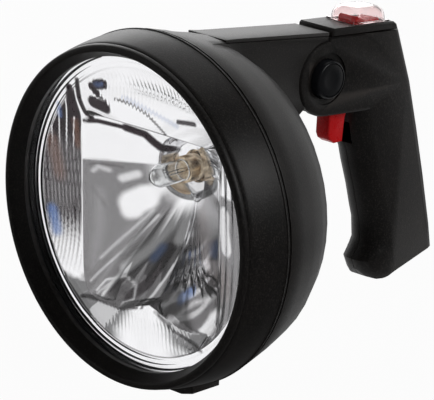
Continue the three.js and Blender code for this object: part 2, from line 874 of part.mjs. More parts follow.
// Clamp that ties the bezel to the housing, and its screw
function clampSolid() {
  const h = clamp.halfWidth;
  const c = clamp.corner;
  const front = clampFront;
  const back = clampFront + clamp.length;
  const plan = planSlab([
    [-h, front + c], [-h + c, front], [h - c, front], [h, front + c],
    [h, back - c], [h - c, back], [-h + c, back], [-h, back - c],
  ], -clampDrop, -backRadius, fit.slide);
  const bed = seamRadius + bezel.ridgeHeight + fit.gap;
  const envelope = solid(turned([
    [0, 0],
    [bed, 0],
    [bed, housingFront],
    ...housingOutline(-fit.gap).slice(1),
  ], facets.ring));
  const atScrew = (geometry) => solid(moved(geometry, 0, clampScrewBack, 0));
  const well = atScrew(upright(drum(
    screw.headRadius + fit.gap, -clampDrop - fit.overrun, clampScrewSeat, facets.small,
  )));
  const hole = atScrew(upright(drum(
    screw.shankRadius + fit.gap, -clampDrop - fit.overrun, -backRadius, facets.small,
  )));
  return skin(cutBy(solid(plan), envelope, well, hole));
}
piece(head, 'bezel_clamp', clampSolid(), 'blackPlastic');

piece(head, 'clamp_screw', upright(turned([
  [0, clampScrewSeat - fit.gap - screw.headHeight / 2],
  [screw.headRadius, clampScrewSeat - fit.gap - screw.headHeight / 2],
  [screw.headRadius, clampScrewSeat - fit.gap],
  [screw.shankRadius, clampScrewSeat - fit.gap],
  [screw.shankRadius, clampScrewTip - screw.shankRadius],
  [0, clampScrewTip],
], facets.small)), 'steel', [0, clampScrewBack, 0]);

// Leads from the bulb, outside the clip's arms, through the neck to the hinge
const leadStart = stubBack + fit.gap;
const leadRound = housingBack + housing.crown - housing.wall - wire.radius - fit.slide * 3;
[['left', -1], ['right', 1]].forEach(([name, side], i) => {
  const outside = side * (clip.halfWidth + clip.wire + wire.radius + fit.slide);
  piece(head, `bulb_lead_${name}`, rod([
    [side * bulb.stubRadius * 0.45, leadStart, bulb.rise],
    [side * bulb.stubRadius * 0.5, leadStart + wire.radius * 2, bulb.rise],
    [side * clip.halfWidth * 0.8, leadRound, bulb.rise + wire.radius],
    [outside, leadRound, bulb.rise + clip.reach * 0.5],
    [outside, leadRound, bulb.rise + clip.reach * 1.1],
    [side * neck.channelHalfWidth * 0.75, housingBack, channelFloor + wire.radius * 4],
    [side * neck.channelHalfWidth * 0.5, housingBack + neck.channelWall * 3, hingeRise],
    [leadPlaces[i], channelEnd - neck.channelWall * 3, hingeRise + leadRise],
    [leadPlaces[i], channelEnd, hingeRise + leadRise],
    [leadPlaces[i], hingeBack + neck.tongueRadius * 0.8, hingeRise + leadRise],
  ], wire.radius, 28), 'copper');
});

// Grip outline as shares of its height down and its depth back
const gripFrontShares = [
  [0, 0.36], [0.26, 0.36], [0.3, 0.47], [0.422, 0.566], [0.467, 0.634], [0.519, 0.682], [0.62, 0.792],
  [0.709, 0.874], [0.756, 0.922], [0.838, 0.956], [0.87, 0.918], [0.91, 0.856], [0.957, 0.924], [1, 1.02],
];
const gripRearShares = [
  [0, 1.05], [0.2068, 1.292], [0.3877, 1.458], [0.583, 1.626], [0.792, 1.792], [0.851, 1.83], [1, 1.92],
];

function along(table, share) {
  const next = Math.max(1, table.findIndex(([at]) => at >= share));
  const [a0, v0] = table[next - 1];
  const [a1, v1] = table[next];
  return v0 + ((v1 - v0) * (share - a0)) / (a1 - a0);
}

const gripSpan = grip.length + grip.top;
const gripFront = (share) => along(gripFrontShares, share) * grip.depth;
const gripRear = (share) => along(gripRearShares, share) * grip.depth;
const gripLevel = (share) => grip.top - gripSpan * share;

// One level of the grip: half-round front, flat sides and rounded rear corners
function gripSection(share, inset, floor) {
  const half = grip.halfWidth - inset;
  const front = Math.max(gripFront(share) + inset, floor);
  const rear = gripRear(share) - inset;
  const nose = grip.frontRound - inset / 2;
  const z = gripLevel(share);
  const corner = grip.rearRound - inset / 2;
  const points = [];
  const noseSteps = 8;
  for (let i = 0; i <= noseSteps; i += 1) {
    const angle = Math.PI / 2 - (i / noseSteps) * Math.PI;
    points.push([-half * Math.sin(angle), front + nose * (1 - Math.cos(angle)), z]);
  }
  const cornerSteps = 3;
  [1, -1].forEach((side) => {
    for (let i = 0; i <= cornerSteps; i += 1) {
      const turn = (i / cornerSteps) * (Math.PI / 2);
      const angle = side > 0 ? turn : Math.PI / 2 - turn;
      points.push([
        side * (half - corner + corner * Math.cos(angle)),
        rear - corner + corner * Math.sin(angle),
        z,
      ]);
    }
  });
  return points;
}

const gripLevelShares = [
  0, 0.1, 0.2068, 0.3, 0.3877, 0.422, 0.467, 0.519, 0.583,
  0.62, 0.709, 0.756, 0.792, 0.838, 0.87, 0.91, 0.957, 1,
];

function gripLoft(inset, floor) {
  return solid(skinned(gripLevelShares.map((share) => gripSection(share, inset, floor))));
}

// Side outline of the butt, which closes the grip below
const keelShares = [
  [0.882, 1.8], [0.955, 1.272], [0.976, 1.14], [0.983, 1.06], [0.977, 0.99], [0.952, 0.92],
];

function buttOutline(inset) {
  const far = grip.depth * 3;
  return [
    [0, grip.top],
    [far, grip.top],
    [far, gripLevel(0.83) + inset],
    [gripRear(0.83), gripLevel(0.83) + inset],
    ...keelShares.map(([down, back]) => [back * grip.depth, gripLevel(down) + inset]),
    [0, gripLevel(0.91) + inset],
  ];
}

function cheekOutline() {
  const points = [];
  const steps = 14;
  for (let i = 0; i <= steps; i += 1) {
    const angle = -Math.PI / 2 - (i / steps) * Math.PI;
    points.push([hinge.cheekRadius * Math.cos(angle), hinge.cheekRadius * Math.sin(angle)]);
  }
  const back = gripFront(0.3) + grip.frontRound;
  return [...points, [fit.gap, grip.top], [back, grip.top], [back, -grip.underside]];
}

// Screws that hold the halves together, as shares of the grip's reach back and down
const gripScrewShares = [[0.97, 0.0586], [1, 0.407], [1.52, 0.64], [1.1, 0.89]];
const gripScrews = gripScrewShares.map(([back, down]) => [back * grip.depth, gripLevel(down)]);
const headSeat = screw.headHeight + fit.slide - grip.halfWidth;

function gripSolid() {
  const cheeks = solid(sideSlab(cheekOutline(), grip.halfWidth, grip.edge));
  const trunk = gripLoft(0, 0).intersect(solid(sideSlab(buttOutline(0), grip.halfWidth + fit.overrun)));
  const underCheeks = solid(block(
    [-grip.halfWidth - fit.overrun, grip.halfWidth + fit.overrun],
    [-hinge.cheekRadius * 2, trigger.upperFront],
    [-grip.length * 2, -grip.underside],
  ));
  return joined(cheeks, trunk.subtract(underCheeks));
}

// The cable inlet stands square to the sloping butt
const [keelHigh, keelLow] = keelShares;
const keelFall = (keelLow[0] - keelHigh[0]) * gripSpan;
const keelRun = (keelHigh[1] - keelLow[1]) * grip.depth;
const inletLean = Math.atan2(keelFall, keelRun);
const inletBack = ((keelHigh[1] + keelLow[1]) / 2) * grip.depth;
const inletLevel = gripLevel((keelHigh[0] + keelLow[0]) / 2);

function atInlet(geometry) {
  geometry.rotateX(inletLean - Math.PI / 2);
  return moved(geometry, 0, inletBack, inletLevel);
}

const wellHalf = trigger.halfWidth + fit.slide;
const keelWall = grip.wall * 1.4;
const bodyHalfWidth = switchBody.well + switchBody.wall;
const bodyHalfLength = rocker.halfLength + fit.slide * 2 + switchBody.wall;
const pegs = [
  [grip.halfWidth * 0.7, hinge.cheekRadius * 0.45],
  [-grip.halfWidth * 0.7, hinge.cheekRadius * 0.45],
  [grip.halfWidth * 0.62, grip.depth * 0.95],
  [-grip.halfWidth * 0.62, grip.depth * 0.95],
];

function gripHollows() {
  const shell = solid(block(
    [-grip.halfWidth, grip.halfWidth],
    [0, grip.depth * 2],
    [grip.top - grip.wall, grip.top + fit.overrun],
  ));
  const inner = gripLoft(grip.wall, trigger.upperFront + grip.wall)
    .intersect(solid(sideSlab(buttOutline(keelWall), grip.halfWidth)))
    .subtract(shell);
  const knuckle = solid(across(drum(
    neck.tongueRadius + fit.slide, -cheekInside, cheekInside, facets.disc,
  )));
  const mouth = solid(block(
    [-cheekInside, cheekInside],
    [-hinge.cheekRadius - fit.overrun, 0],
    [-hinge.cheekRadius - fit.overrun, grip.top + fit.overrun],
  ));
  const slot = solid(block(
    [-wellHalf, wellHalf],
    [0, trigger.slotBack],
    [-trigger.slotFloor, -grip.underside],
  ));
  const well = solid(block(
    [-wellHalf, wellHalf],
    [trigger.pinBack - trigger.armRadius - fit.slide, trigger.slotBack],
    [-grip.underside - fit.overrun, trigger.armRadius + fit.slide - trigger.pinDrop],
  ));
  const switchWell = solid(block(
    [-bodyHalfWidth - fit.gap, bodyHalfWidth + fit.gap],
    [rocker.centre - bodyHalfLength - fit.gap, rocker.centre + bodyHalfLength + fit.gap],
    [grip.top - switchBody.height - fit.gap, grip.top + fit.overrun],
  ));
  const buttonBore = solid(across(drum(socketRadius, 0, grip.halfWidth + fit.overrun, facets.round)));
  const recesses = [
    [boltHeadSeat, grip.halfWidth + fit.overrun],
    [-grip.halfWidth - fit.overrun, -boltHeadSeat],
  ].map(([from, to]) => solid(across(drum(button.recessRadius, from, to, facets.disc))));
  const boltBore = solid(across(drum(
    hinge.boltRadius + fit.gap, -grip.halfWidth - fit.overrun, 0, facets.small,
  )));
  const pinEnd = grip.halfWidth - grip.wall / 2;
  const pinBore = solid(moved(
    across(drum(trigger.pinRadius + fit.gap, -pinEnd, pinEnd, facets.small)),
    0, trigger.pinBack, -trigger.pinDrop,
  ));
  const leadWays = leadPlaces.map((x) => solid(moved(
    drum(
      wire.radius + fit.slide, neck.tongueRadius * 0.8, trigger.upperFront + grip.wall * 2, facets.small,
    ),
    x, 0, 0,
  )));
  const inletWays = [
    [inlet.radius + fit.gap, -keelWall * 3, fit.overrun],
    [inlet.radius + inlet.flange + fit.gap, -inlet.flangeThickness - fit.gap, fit.overrun * 2],
  ].map(([radius, from, to]) => solid(atInlet(drum(radius, from, to, facets.round))));
  const pegHoles = pegs.map(([x, y]) => solid(moved(
    upright(drum(
      switchPlate.pegRadius + fit.gap, grip.top - switchPlate.pegLength, grip.top + fit.overrun, facets.small,
    )),
    x, y, 0,
  )));
  return [inner, knuckle, mouth, slot, well, switchWell, buttonBore, ...recesses, boltBore, pinBore,
    ...leadWays, ...inletWays, ...pegHoles];
}

function screwPosts(side) {
  const meeting = side * (fit.gap / 2);
  const wallSide = side * (grip.halfWidth - grip.wall / 2);
  return gripScrews.map(([back, height]) => solid(moved(
    across(drum(screw.bossRadius, Math.min(meeting, wallSide), Math.max(meeting, wallSide), facets.small)),
    0, back, height,
  )));
}

// Shelves that hold the trigger switch and the terminal block between the halves
function shelves(side) {
  const spans = [
    [triggerSwitch.halfWidth, triggerSwitch.front + grip.wall, triggerSwitch.length - grip.wall * 1.5,
      -triggerSwitch.drop],
    [fit.gap, terminalBack, terminal.length, terminalLevel - fit.gap - grip.wall / 2],
  ];
  return spans.map(([near, back, length, level]) => {
    const reach = [side * (near + fit.gap), side * (grip.halfWidth - grip.wall / 2)];
    return solid(block(
      [Math.min(...reach), Math.max(...reach)],
      [back, back + length],
      [level - grip.wall / 2, level + grip.wall / 2],
    ));
  });
}

function screwHoles(side) {
  return gripScrews.flatMap(([back, height]) => {
    const shank = moved(
      across(drum(
        screw.shankRadius + fit.gap,
        -grip.halfWidth - fit.overrun,
        grip.halfWidth - grip.wall * 1.5,
        facets.small,
      )),
      0, back, height,
    );
    const sunk = moved(
      across(drum(
        screw.headRadius + fit.gap, -grip.halfWidth - fit.overrun, headSeat + fit.gap, facets.small,
      )),
      0, back, height,
    );
    return side > 0 ? [solid(shank)] : [solid(shank), solid(sunk)];
  });
}

const terminalBack = grip.depth * 1.16;
const terminalLevel = gripLevel(0.79);

function gripHalf(side) {
  const reach = grip.depth * 4;
  const keep = solid(block(
    side > 0 ? [fit.gap / 2, grip.halfWidth * 2] : [-grip.halfWidth * 2, -fit.gap / 2],
    [-reach, reach],
    [-reach, reach],
  ));
  const outer = gripSolid();
  const body = cutBy(outer, ...gripHollows());
  const inside = [...screwPosts(side), ...shelves(side)].map((post) => post.intersect(outer));
  return skin(cutBy(joined(body, ...inside), ...screwHoles(side)).intersect(keep));
}
piece(handle, 'grip_right', gripHalf(1), 'blackPlastic');
piece(handle, 'grip_left', gripHalf(-1), 'blackPlastic');

gripScrews.forEach(([back, height], i) => {
  const tip = grip.halfWidth - grip.wall * 2;
  piece(handle, `grip_screw_${i + 1}`, sideScrew(headSeat, tip), 'steel', [0, back, height]);
});

// Top plate over the rocker switch
const windowHalfWidth = rocker.halfWidth + fit.slide;
const windowHalfLength = rocker.halfLength + fit.slide * 2;

function switchPlateSolid() {
  const back = gripRear(0.03) - grip.tuck;
  const t = switchPlate.thickness;
  const start = switchPlate.start;
  const outline = [
    [start, plateFloor],
    [start, plateTop - t * 0.25],
    [start + t * 0.25, plateTop],
    [back - t * 0.8, plateTop],
    [back - t * 0.25, plateTop - t * 0.35],
    [back, plateFloor],
  ];
  const plate = solid(sideSlab(outline, grip.halfWidth, switchPlate.edge));
  const window = solid(block(
    [-windowHalfWidth, windowHalfWidth],
    [rocker.centre - windowHalfLength, rocker.centre + windowHalfLength],
    [plateFloor - fit.overrun, plateTop + fit.overrun],
  ));
  const flange = switchBody.flange + fit.gap;
  const pocket = solid(block(
    [-bodyHalfWidth - flange, bodyHalfWidth + flange],
    [rocker.centre - bodyHalfLength - flange, rocker.centre + bodyHalfLength + flange],
    [plateFloor - fit.overrun, grip.top + switchBody.flangeThickness + fit.gap * 2],
  ));
  const plugs = pegs.map(([x, y]) => solid(moved(
    upright(drum(
      switchPlate.pegRadius, grip.top - switchPlate.pegLength + fit.gap, plateTop - t / 2, facets.small,
    )),
    x, y, 0,
  )));
  return skin(joined(cutBy(plate, window, pocket), ...plugs));
}
piece(handle, 'switch_plate', switchPlateSolid(), 'blackPlastic');

// Rocker: two wings that slope down to a valley, on a cross pin
const pivotHeight = grip.top - rocker.pinDepth;

function rockerSolid() {
  const half = rocker.halfLength;
  const outline = [
    [-half, rocker.valley * 0.5],
    [-half * 0.93, rocker.wing - rocker.pinRadius],
    [-half * 0.82, rocker.wing],
    [0, rocker.valley],
    [half * 0.82, rocker.wing],
    [half * 0.93, rocker.wing - rocker.pinRadius],
    [half, rocker.valley * 0.5],
    [half * 0.78, -rocker.belly * 0.4],
    [half * 0.25, -rocker.belly],
    [-half * 0.25, -rocker.belly],
    [-half * 0.78, -rocker.belly * 0.4],
  ];
  const body = solid(sideSlab(outline, rocker.halfWidth, fit.slide));
  const bore = solid(across(drum(
    rocker.pinRadius + fit.gap, -rocker.halfWidth * 2, rocker.halfWidth * 2, facets.small,
  )));
  return skin(body.subtract(bore));
}
const rockerMesh = piece(handle, 'rocker', rockerSolid(), 'red', [0, rocker.centre, pivotHeight]);
rockerMesh.rotation.x = -THREE.MathUtils.degToRad(rocker.swing / 2);

const rockerPinEnd = bodyHalfWidth - fit.gap;
piece(handle, 'rocker_pin', across(drum(
  rocker.pinRadius, -rockerPinEnd, rockerPinEnd, facets.small,
)), 'steel', [0, rocker.centre, pivotHeight]);

function switchBodySolid() {
  const length = [rocker.centre - bodyHalfLength, rocker.centre + bodyHalfLength];
  const top = grip.top + fit.gap / 2;
  const floor = grip.top - switchBody.height;
  const body = solid(block([-bodyHalfWidth, bodyHalfWidth], length, [floor, top]));
  const flange = solid(block(
    [-bodyHalfWidth - switchBody.flange, bodyHalfWidth + switchBody.flange],
    [length[0] - switchBody.flange, length[1] + switchBody.flange],
    [top, top + switchBody.flangeThickness],
  ));
  const well = solid(block(
    [-switchBody.well, switchBody.well],
    [length[0] + switchBody.wall, length[1] - switchBody.wall],
    [pivotHeight - rocker.belly - fit.slide * 2, grip.top + fit.overrun],
  ));
  const bore = solid(moved(
    across(drum(rocker.pinRadius + fit.gap, -grip.halfWidth, grip.halfWidth, facets.small)),
    0, rocker.centre, pivotHeight,
  ));
  const tabs = [-0.6, 0, 0.6].map((share) => {
    const middle = rocker.centre + share * bodyHalfLength;
    return solid(block(
      [-rocker.pinRadius, rocker.pinRadius],
      [middle - fit.slide, middle + fit.slide],
      [floor - switchBody.tab, floor + switchBody.wall],
    ));
  });
  return skin(joined(cutBy(joined(body, flange), well, bore), ...tabs));
}
piece(handle, 'switch_body', switchBodySolid(), 'darkPlastic');

// Clear boot: a soft four-sided dome on a thin rim
function bootRing(share, inset, height) {
  const points = [];
  const count = 28;
  const sharpness = 7 - 4 * share;
  const shrink = 1 - 0.4 * share ** 2.4;
  for (let i = 0; i < count; i += 1) {
    const angle = (i / count) * Math.PI * 2;
    const c = Math.abs(Math.cos(angle)) ** (2 / sharpness) * Math.sign(Math.cos(angle));
    const s = Math.abs(Math.sin(angle)) ** (2 / sharpness) * Math.sign(Math.sin(angle));
    points.push([
      c * (boot.halfWidth - boot.rim - inset) * shrink,
      s * (boot.halfLength - boot.rim - inset) * shrink,
      height,
    ]);
  }
  return points;
}

function bootSolid() {
  const bottom = plateTop + fit.gap;
  const rise = boot.height - boot.base;
  const levelShares = [0, 0.3, 0.55, 0.78, 0.93, 1];
  const climb = (share) => Math.sin((share * Math.PI) / 2);
  const outer = levelShares.map((share) => bootRing(share, 0, bottom + boot.base + rise * climb(share)));
  const inner = levelShares.map((share) => bootRing(
    share, boot.wall, bottom + boot.base + (rise - boot.wall) * climb(share),
  ));
  const dome = solid(skinned([bootRing(0, 0, bottom), ...outer]));
  const hollow = solid(skinned([bootRing(0, boot.wall, bottom - fit.overrun), ...inner]));
  const w = boot.halfWidth;
  const l = boot.halfLength;
  const r = boot.rim;
  const rim = solid(planSlab([
    [-w, -l + r], [-w + r, -l], [w - r, -l], [w, -l + r],
    [w, l - r], [w - r, l], [-w + r, l], [-w, l - r],
  ], bottom, bottom + boot.base));
  return skin(joined(dome, rim).subtract(hollow));
}
piece(handle, 'switch_boot', bootSolid(), 'clear', [0, rocker.centre, 0]);

// Trigger on its pin, with the spring between its ears
const triggerTop = -trigger.pinDrop - trigger.armRadius * 0.5;

function triggerSolid() {
  const t = trigger.halfWidth;
  const outline = [
    [trigger.front, -grip.underside - fit.slide],
    [trigger.front + fit.gap, -trigger.bottom + t],
    [trigger.front + t * 0.36, -trigger.bottom + t * 0.42],
    [trigger.front + t * 1.08, -trigger.bottom],
    [trigger.back - fit.slide, -trigger.bottom + fit.slide],
    [trigger.back, -grip.underside - t],
    [trigger.pinBack + trigger.armRadius * 0.85, triggerTop],
    [trigger.pinBack - trigger.armRadius * 0.85, triggerTop],
    [trigger.pinBack - trigger.armRadius * 0.9, -grip.underside - fit.slide],
  ];
  const atPin = (geometry) => solid(moved(geometry, 0, trigger.pinBack, -trigger.pinDrop));
  const arm = atPin(across(drum(trigger.armRadius, -t, t, facets.round)));
  const bore = atPin(across(drum(trigger.pinRadius + fit.gap, -t * 2, t * 2, facets.small)));
  const fork = solid(block(
    [-trigger.forkHalfWidth, trigger.forkHalfWidth],
    [0, grip.depth],
    [-trigger.pinDrop - trigger.armRadius, 0],
  ));
  return skin(cutBy(joined(solid(sideSlab(outline, t, fit.slide)), arm), bore, fork));
}
piece(handle, 'trigger', triggerSolid(), 'red');
piece(handle, 'trigger_pin', across(drum(
  trigger.pinRadius, -grip.halfWidth + grip.wall * 0.7, grip.halfWidth - grip.wall * 0.7, facets.small,
)), 'steel', [0, trigger.pinBack, -trigger.pinDrop]);

const springWire = spring.wire * 0.7;
piece(handle, 'trigger_spring', coil(
  trigger.pinRadius + springWire,
  springWire - trigger.forkHalfWidth,
  trigger.forkHalfWidth - springWire,
  3,
  springWire,
), 'steel', [0, trigger.pinBack, -trigger.pinDrop]);

function triggerSwitchSolid() {
  const s = triggerSwitch;
  const top = s.height / 2 - s.drop;
  const body = block([-s.halfWidth, s.halfWidth], [s.front, s.front + s.length], [top - s.height, top]);
  const tabs = [0.3, 0.75].map((share) => block(
    [-rocker.pinRadius, rocker.pinRadius],
    [s.front + s.length - fit.slide, s.front + s.length + switchBody.tab],
    [top - s.height * share - s.leafThickness, top - s.height * share + s.leafThickness],
  ));
  return skin(joined(solid(body), ...tabs.map(solid)));
}
piece(handle, 'trigger_switch', triggerSwitchSolid(), 'darkPlastic');

// Leaf of the trigger switch, bent out to the back of the trigger
function switchLeafSolid() {
  const s = triggerSwitch;
  const top = s.height / 2 - s.drop;
  const face = s.front - fit.gap;
  const line = [
    [face, top - s.leafThickness],
    [face, top - s.leafThickness * 4],
    [face - s.leafReach, top - s.height * 0.62],
    [face - s.leafReach * 0.8, top - s.height * 0.8],
  ];
  const far = line.map(([y, z]) => [y - s.leafThickness, z]).reverse();
  return sideSlab([...line, ...far], s.halfWidth * 0.7);
}
piece(handle, 'switch_leaf', switchLeafSolid(), 'steel');

// Hinge: bolt, friction washers, release button and spring
const boltTip = buttonTop - button.dish - button.capThickness - fit.gap * 2;
const boltHeadFace = -boltHeadSeat - fit.gap - hinge.boltHeadThickness;

function hingeBoltSolid() {
  const body = solid(across(turned([
    [0, boltHeadFace],
    [hinge.boltHeadRadius - fit.slide, boltHeadFace],
    [hinge.boltHeadRadius, boltHeadFace + fit.slide],
    [hinge.boltHeadRadius, -boltHeadSeat - fit.gap],
    [hinge.boltRadius, -boltHeadSeat - fit.gap],
    [hinge.boltRadius, boltTip],
    [0, boltTip],
  ], facets.round)));
  const slot = solid(block(
    [boltHeadFace - fit.overrun, boltHeadFace + hinge.boltHeadThickness * 0.5],
    [-screw.slotWidth, screw.slotWidth],
    [-hinge.boltHeadRadius * 0.7, hinge.boltHeadRadius * 0.7],
  ));
  return skin(body.subtract(slot));
}
piece(handle, 'hinge_bolt', hingeBoltSolid(), 'steel');

const nutBore = hinge.boltRadius / Math.cos(Math.PI / 6) + fit.gap;
piece(handle, 'hinge_nut', across(ring(
  hinge.nutRadius, nutBore, webOut + fit.gap, webOut + fit.gap + hinge.nutThickness, 6,
)), 'steel');

['left', 'right'].forEach((name, i) => {
  const inner = neck.tongueHalfWidth + fit.gap;
  const outer = inner + hinge.washerThickness;
  const bore = i ? socketRadius : hinge.boltRadius + fit.gap;
  piece(handle, `friction_washer_${name}`, across(ring(
    hinge.washerRadius, bore, i ? inner : -outer, i ? outer : -inner, facets.round,
  )), 'nylon');
});

// Button: a sleeve with a web that the bolt pulls on, closed by a dished cap
const capRadius = button.radius - button.rim - fit.gap;

piece(handle, 'lock_button', across(turned([
  [hinge.boltRadius + fit.gap, webOut - button.webThickness],
  [button.radius - button.wall, webOut - button.webThickness],
  [button.radius - button.wall, buttonFoot],
  [button.radius, buttonFoot],
  [button.radius, buttonTop - button.chamfer],
  [button.radius - button.chamfer * 0.6, buttonTop - button.chamfer * 0.2],
  [button.radius - button.rim, buttonTop],
  [button.radius - button.rim, webOut],
  [hinge.boltRadius + fit.gap, webOut],
  [hinge.boltRadius + fit.gap, webOut - button.webThickness],
], facets.disc)), 'darkPlastic');

piece(handle, 'button_cap', across(turned([
  [0, buttonTop - button.dish],
  [capRadius * 0.5, buttonTop - button.dish * 0.75],
  [capRadius, buttonTop - fit.gap],
  [capRadius, webOut + fit.gap],
  [hinge.nutRadius + fit.slide * 2, webOut + fit.gap],
  [hinge.nutRadius + fit.slide * 2, buttonTop - button.dish - button.capThickness],
  [0, buttonTop - button.dish - button.capThickness],
], facets.disc)), 'darkPlastic');

piece(handle, 'lock_spring', coil(
  spring.radius,
  socketFloor + fit.gap + spring.wire / 2,
  webOut - button.webThickness - fit.gap - spring.wire / 2,
  spring.turns,
  spring.wire,
), 'steel');

// Cable inlet in the butt, the terminal block behind it and the leads inside
piece(handle, 'cable_inlet', atInlet(turned([
  [inlet.boreRadius, -keelWall - fit.gap - inlet.flangeThickness],
  [inlet.radius + inlet.flange, -keelWall - fit.gap - inlet.flangeThickness],
  [inlet.radius + inlet.flange, -keelWall - fit.gap],
  [inlet.radius, -keelWall - fit.gap],
  [inlet.radius, -inlet.flangeThickness],
  [inlet.radius + inlet.flange, -inlet.flangeThickness],
  [inlet.radius + inlet.flange, 0],
  [inlet.boreRadius, 0],
  [inlet.boreRadius, -keelWall - fit.gap - inlet.flangeThickness],
], facets.round)), 'rubber');

function terminalSolid() {
  const body = solid(block(
    [-terminal.halfWidth, terminal.halfWidth],
    [0, terminal.length],
    [0, terminal.height],
  ));
  const heads = [-0.5, 0.5].map((share) => solid(moved(
    upright(drum(
      terminal.screwRadius, terminal.height / 2, terminal.height + terminal.screwRise, facets.small,
    )),
    share * terminal.halfWidth, terminal.length / 2, 0,
  )));
  return skin(joined(body, ...heads));
}
piece(handle, 'terminal_block', terminalSolid(), 'nylon', [0, terminalBack, terminalLevel]);

const tabFoot = grip.top - switchBody.height - switchBody.tab - fit.gap;
const switchTabs = [-0.6, 0, 0.6].map((share) => rocker.centre + share * bodyHalfLength);
const blockTop = terminalLevel + terminal.height + fit.gap;
const leadRun = grip.depth * 0.94;

leadPlaces.forEach((x, i) => {
  const tab = switchTabs[1 - i];
  piece(handle, `hinge_lead_${i + 1}`, rod([
    [x, neck.tongueRadius + fit.slide * 2, 0],
    [x, trigger.upperFront, 0],
    [x, trigger.upperFront + grip.wall * (3 - i), -wire.radius / 2],
    [x * 0.4, tab, tabFoot - wire.radius * 4],
    [0, tab, tabFoot - wire.radius * 2],
    [0, tab, tabFoot],
  ], wire.radius * 0.8, 12), 'copper');
});

piece(handle, 'switch_lead', rod([
  [0, switchTabs[2], tabFoot],
  [0, switchTabs[2], tabFoot - wire.radius * 3],
  [wire.radius * 3, leadRun * 1.06, gripLevel(0.24)],
  [terminal.halfWidth * 0.5, leadRun * 1.28, gripLevel(0.42)],
  [terminal.halfWidth * 0.5, terminalBack + terminal.length * 0.2, blockTop + wire.radius * 6],
  [terminal.halfWidth * 0.5, terminalBack + terminal.length * 0.2, blockTop],
], wire.radius, 20), 'copper');

const triggerTabBack = triggerSwitch.front + triggerSwitch.length + switchBody.tab + fit.gap;
const triggerTabLevel = triggerSwitch.height * 0.2 - triggerSwitch.drop;
piece(handle, 'trigger_lead', rod([
  [0, triggerTabBack, triggerTabLevel],
  [0, triggerTabBack + wire.radius * 3, triggerTabLevel],
  [-wire.radius * 2, leadRun * 1.1, gripLevel(0.31)],
  [-terminal.halfWidth * 0.5, leadRun * 1.28, gripLevel(0.45)],
  [-terminal.halfWidth * 0.5, terminalBack + terminal.length * 0.2, blockTop + wire.radius * 8],
  [-terminal.halfWidth * 0.5, terminalBack + terminal.length * 0.2, blockTop],
], wire.radius, 16), 'copper');

// Shared frame: the hand's centre is the origin and the grip leans back by its tilt
handle.rotation.x = -THREE.MathUtils.degToRad(hinge.tilt);
const hand = new THREE.Vector3(0, grip.handBack, -grip.handDrop).applyEuler(handle.rotation);
handle.position.copy(hand).negate();
head.position.copy(handle.position).sub(new THREE.Vector3(0, hingeBack, hingeRise));
searchlight.updateMatrixWorld(true);

export default searchlight;
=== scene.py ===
"""Looks of a hand-held halogen searchlight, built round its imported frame.

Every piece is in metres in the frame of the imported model. The head looks along -Y, +Z is up
and +X is the side of the hinge button. Sizes in the classes are millimetres.
"""
import json
import logging
import math
from dataclasses import dataclass
from enum import Enum
from typing import Callable, Sequence

import bmesh
import bpy
from mathutils import Matrix, Vector


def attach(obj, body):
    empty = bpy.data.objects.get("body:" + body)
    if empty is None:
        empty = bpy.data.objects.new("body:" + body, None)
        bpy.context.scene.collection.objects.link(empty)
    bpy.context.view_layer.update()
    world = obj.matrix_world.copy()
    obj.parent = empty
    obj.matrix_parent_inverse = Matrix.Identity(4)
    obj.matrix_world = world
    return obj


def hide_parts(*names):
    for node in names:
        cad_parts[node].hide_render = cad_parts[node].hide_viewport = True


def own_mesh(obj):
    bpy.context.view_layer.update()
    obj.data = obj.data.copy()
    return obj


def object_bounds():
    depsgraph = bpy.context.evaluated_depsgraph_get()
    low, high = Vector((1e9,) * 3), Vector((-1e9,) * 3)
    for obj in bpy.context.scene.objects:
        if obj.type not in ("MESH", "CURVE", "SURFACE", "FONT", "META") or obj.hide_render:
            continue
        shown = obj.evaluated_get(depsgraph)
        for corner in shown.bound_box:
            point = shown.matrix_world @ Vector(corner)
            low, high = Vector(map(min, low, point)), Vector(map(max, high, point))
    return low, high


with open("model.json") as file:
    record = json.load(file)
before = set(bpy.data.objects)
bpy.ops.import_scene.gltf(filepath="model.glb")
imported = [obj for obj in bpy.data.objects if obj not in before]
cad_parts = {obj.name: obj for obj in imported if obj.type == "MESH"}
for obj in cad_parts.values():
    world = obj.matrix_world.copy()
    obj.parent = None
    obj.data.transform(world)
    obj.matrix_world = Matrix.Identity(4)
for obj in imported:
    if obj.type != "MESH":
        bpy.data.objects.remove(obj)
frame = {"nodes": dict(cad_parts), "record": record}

CAD_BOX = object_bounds()
MM = 0.001
SHARP_DEG = 38.0
SAME_POINT_MM = 0.002
FLAT_DEG = 0.6
WHITE = (1.0, 1.0, 1.0, 1.0)
SOFT = {"interpolation_type": "SMOOTHSTEP"}
LOG = logging.getLogger("searchlight")

Point = tuple[float, float, float]
Socket = tuple[bpy.types.Node, str]


class Body(Enum):
    """The moving bodies of the lamp."""

    HANDLE = "handle"
    HEAD = "head"
    CLIP = "bulb_clip"
    ROCKER = "rocker"
    TRIGGER = "trigger"
    BUTTON = "lock_button"


class Surface(Enum):
    """How a surface was made, which sets the run of its fine grain."""

    SPARKED = (1.0, 1.0, 1.0)
    POLISHED = (1.0, 1.0, 1.0)
    TURNED = (1.0, 12.0, 1.0)
    DRAWN = (0.2, 1.0, 1.0)


def linear(code: str) -> tuple[float, float, float, float]:
    """Turn an sRGB hex colour to linear.

    Args:
        code: Six hex digits after a hash.

    Returns:
        Red, green, blue and an alpha of one.
    """
    shares = [int(code[i:i + 2], 16) / 255 for i in (1, 3, 5)]
    r, g, b = (s / 12.92 if s <= 0.04045 else ((s + 0.055) / 1.055) ** 2.4 for s in shares)
    return (r, g, b, 1.0)


